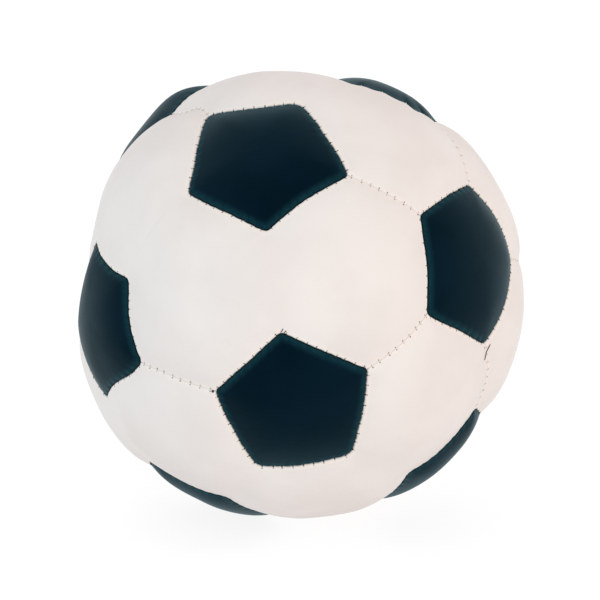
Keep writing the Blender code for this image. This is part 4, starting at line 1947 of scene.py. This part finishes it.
PULLS = (
    Pull((-0.96, 0.06, 0.24), 22, rise=-9.2),
    Pull((-0.5, 0.26, 0.82), 11, rise=2.4),
    Pull((0.0, 0.3, 0.95), 17, rise=-5.8),
    Pull((0.5, 0.26, 0.83), 16, rise=-0.8),
    Pull((0.7, -0.22, -0.68), 16, rise=-1.2),
    Pull((-0.7, -0.22, -0.68), 14, rise=1.2),
    Pull((0.91, -0.13, -0.4), 20, rise=-1.3),
    Pull((-0.41, -0.25, 0.88), 10, shift=(0.5, 6.2, 2.4)),
    Pull((0.03, -0.3, 0.95), 9, shift=(-1.8, 2.0, 0.6)),
    Pull((-0.47, -0.6, 0.65), 10, shift=(1.0, 1.2, 1.4)),
    Pull((-0.43, 0.27, 0.86), 11, shift=(4.5, 0.0, 2.0)),
    Pull((-0.79, 0.19, 0.58), 12, shift=(-3.5, 0.0, -6.0)),
    Pull((-0.71, -0.7, -0.08), 12, shift=(1.9, -1.3, -1.9)),
    Pull((0.655, -0.7, 0.285), 8, shift=(-1.6, -1.4, 0.0)),
    Pull((0.6, -0.67, 0.44), 10, shift=(-2.2, -1.6, 0.0)),
    Pull((0.972, 0.05, 0.156), 9, rise=1.4),
    Pull((0.7, -0.135, 0.7), 10, rise=0.7),
    Pull((0.66, -0.74, 0.13), 17, shift=(-1.7, -1.5, 0.0)),
    Pull((0.85, -0.52, -0.02), 10, shift=(-1.2, -1.6, -1.5)),
    Pull((-0.14, -0.57, 0.81), 26, shift=(0.2, 2.7, 2.1)),
    Pull((0.19, -0.66, 0.72), 13, shift=(2.4, 0.3, -0.4)),
    Pull((-0.36, -0.34, 0.87), 12, shift=(-1.8, 3.0, 0.5)),
    Pull((-0.74, -0.59, 0.33), 16, shift=(2.2, -4.5, -4.0)),
    Pull((-0.92, -0.23, 0.3), 12, shift=(2.5, -4.5, 3.0)),
    Pull((-0.83, -0.47, -0.3), 14, shift=(-0.2, 1.9, -2.2)),
    Pull((0.74, -0.66, 0.08), 19, shift=(-3.7, -4.0, 0.3)),
    Pull((0.66, -0.46, 0.57), 18, shift=(-2.4, -1.0, 0.6)),
    Pull((0.05, -0.89, -0.45), 20, shift=(-1.2, 0.6, -1.7)),
    Pull((-0.34, -0.93, -0.13), 11, shift=(0.4, -0.2, 0.3)),
    Pull((0.8, -0.44, -0.41), 14, shift=(0.0, -2.2, 2.6)),
)


@dataclass(frozen=True)
class Softbox:
    """A square area light that faces the ball.

    Attributes:
        name: its name.
        place: where it stands, in metres from the ball's centre.
        size: its side, in metres.
        power: in watts.
        colour: its tint.
    """

    name: str
    place: Triple
    size: float
    power: float
    colour: Colour

    def stand(self, centre: Vector) -> None:
        """Puts it in the scene, round the ball's centre."""
        data = bpy.data.lights.new(self.name, "AREA")
        data.shape, data.size = "SQUARE", self.size
        data.energy, data.color = self.power, self.colour
        light = linked(self.name, data)
        light.location = centre + Vector(self.place)
        light.rotation_mode = "QUATERNION"
        light.rotation_quaternion = Vector(self.place).to_track_quat("Z", "Y")


WARM = Softbox("warm_softbox", (1.2, -1.4, 0.5), 0.9, 10.0, (1.0, 0.96, 0.85))
COOL = Softbox("cool_softbox", (-1.5, -1.0, 0.35), 1.0, 8.6, (0.42, 0.85, 1.0))


@dataclass
class Studio:
    """A pale floor, soft lights and the camera.

    Attributes:
        layout: the ball's place.
        softboxes: the lights.
        lens: focal length, in millimetres.
        distance: from the camera to the ball's centre, in metres.
        elevation: of the camera above the floor, in degrees.
        aside: how far right of the ball's centre the camera aims, in metres.
        below: how far below it the camera aims, in metres.
        floor_size: how far the floor goes each way, in metres.
        floor_drop: how far it lies under the ball, in metres.
        floor_glow: strength of its own light.
        floor_tone: its colour, as grey.
    """

    layout: Layout
    softboxes: tuple[Softbox, ...] = (WARM, COOL)
    lens: float = 149.0
    distance: float = 0.825
    elevation: float = 17.77
    aside: float = 1.6 * MM
    below: float = 1.75 * MM
    floor_size: float = 20.0
    floor_drop: float = 0.05 * MM
    floor_glow: float = 0.87
    floor_tone: float = 0.15

    def camera(self) -> None:
        """The camera, level and a little above the ball."""
        angle = math.radians(self.elevation)
        back = Vector((0, -math.cos(angle), math.sin(angle)))
        up = Vector((0, math.sin(angle), math.cos(angle)))
        aim = Vector(self.layout.centre) + Vector((self.aside, 0, 0)) - up * self.below
        data = bpy.data.cameras.new("camera")
        data.lens, data.sensor_width = self.lens, 36.0
        data.clip_start, data.clip_end = 0.01, 50.0
        camera = linked("camera", data)
        camera.location = aim + back * self.distance
        camera.rotation_mode = "QUATERNION"
        camera.rotation_quaternion = (-back).to_track_quat("-Z", "Y")
        bpy.context.scene.camera = camera

    def floor(self) -> None:
        """A wide pale floor that glows a little, so that the ball's shadow stays soft."""
        material, graph = new_material("pale_floor")
        cloudy = graph.clouds(graph.place(), 3.0, 2.0)
        low, high = ((self.floor_tone + step,) * 3 for step in (-0.005, 0.005))
        graph.coat({
            "Base Color": graph.mixed(cloudy, opaque(low), opaque(high)), "Roughness": 0.9,
            "Specular IOR Level": 0.0, "Emission Color": opaque((1.0, 1.0, 1.0)),
            "Emission Strength": self.floor_glow})
        corners = np.array([(-1, -1, 0), (1, -1, 0), (1, 1, 0), (-1, 1, 0)]) * self.floor_size
        piece_from("floor", corners - (0, 0, self.floor_drop), [(0, 1, 2, 3)], material)

    def world(self) -> None:
        """An even pale surround."""
        world = bpy.data.worlds.new("surround")
        world.use_nodes = True
        graph = Graph(world.node_tree)
        light = graph.out("ShaderNodeBackground", {"Color": opaque((1.0, 1.0, 1.0)), "Strength": 1.0})
        graph.add("ShaderNodeOutputWorld", {"Surface": light})
        scene = bpy.context.scene
        scene.world = world
        scene.view_settings.view_transform = "Standard"
        scene.view_settings.look = "None"

    def build(self) -> None:
        """Everything round the ball."""
        self.world()
        self.floor()
        for softbox in self.softboxes:
            softbox.stand(Vector(self.layout.centre))
        self.camera()


def main() -> None:
    """Builds the ball in order, from its layout to the studio."""
    logging.basicConfig(level=logging.INFO, format="%(name)s: %(message)s")
    layout = Layout(PULLS)
    plan = SeamPlan(layout)
    cover = Cover(plan)
    shells = PanelShells(cover)
    panels = shells.build(DARK.make(), WHITE.make())
    stitching = Stitching(shells)
    stitching.surface(panels)
    stitching.build(THREAD.make(), LOOSE_THREAD.make(), HOLE_SHADE.make())
    Stuffing(cover, shells).build(WADDING.make(), CANVAS.make(), BAG_THREAD.make(), SAND.make())
    Studio(layout).build()


if __name__ == "__main__":
    main()
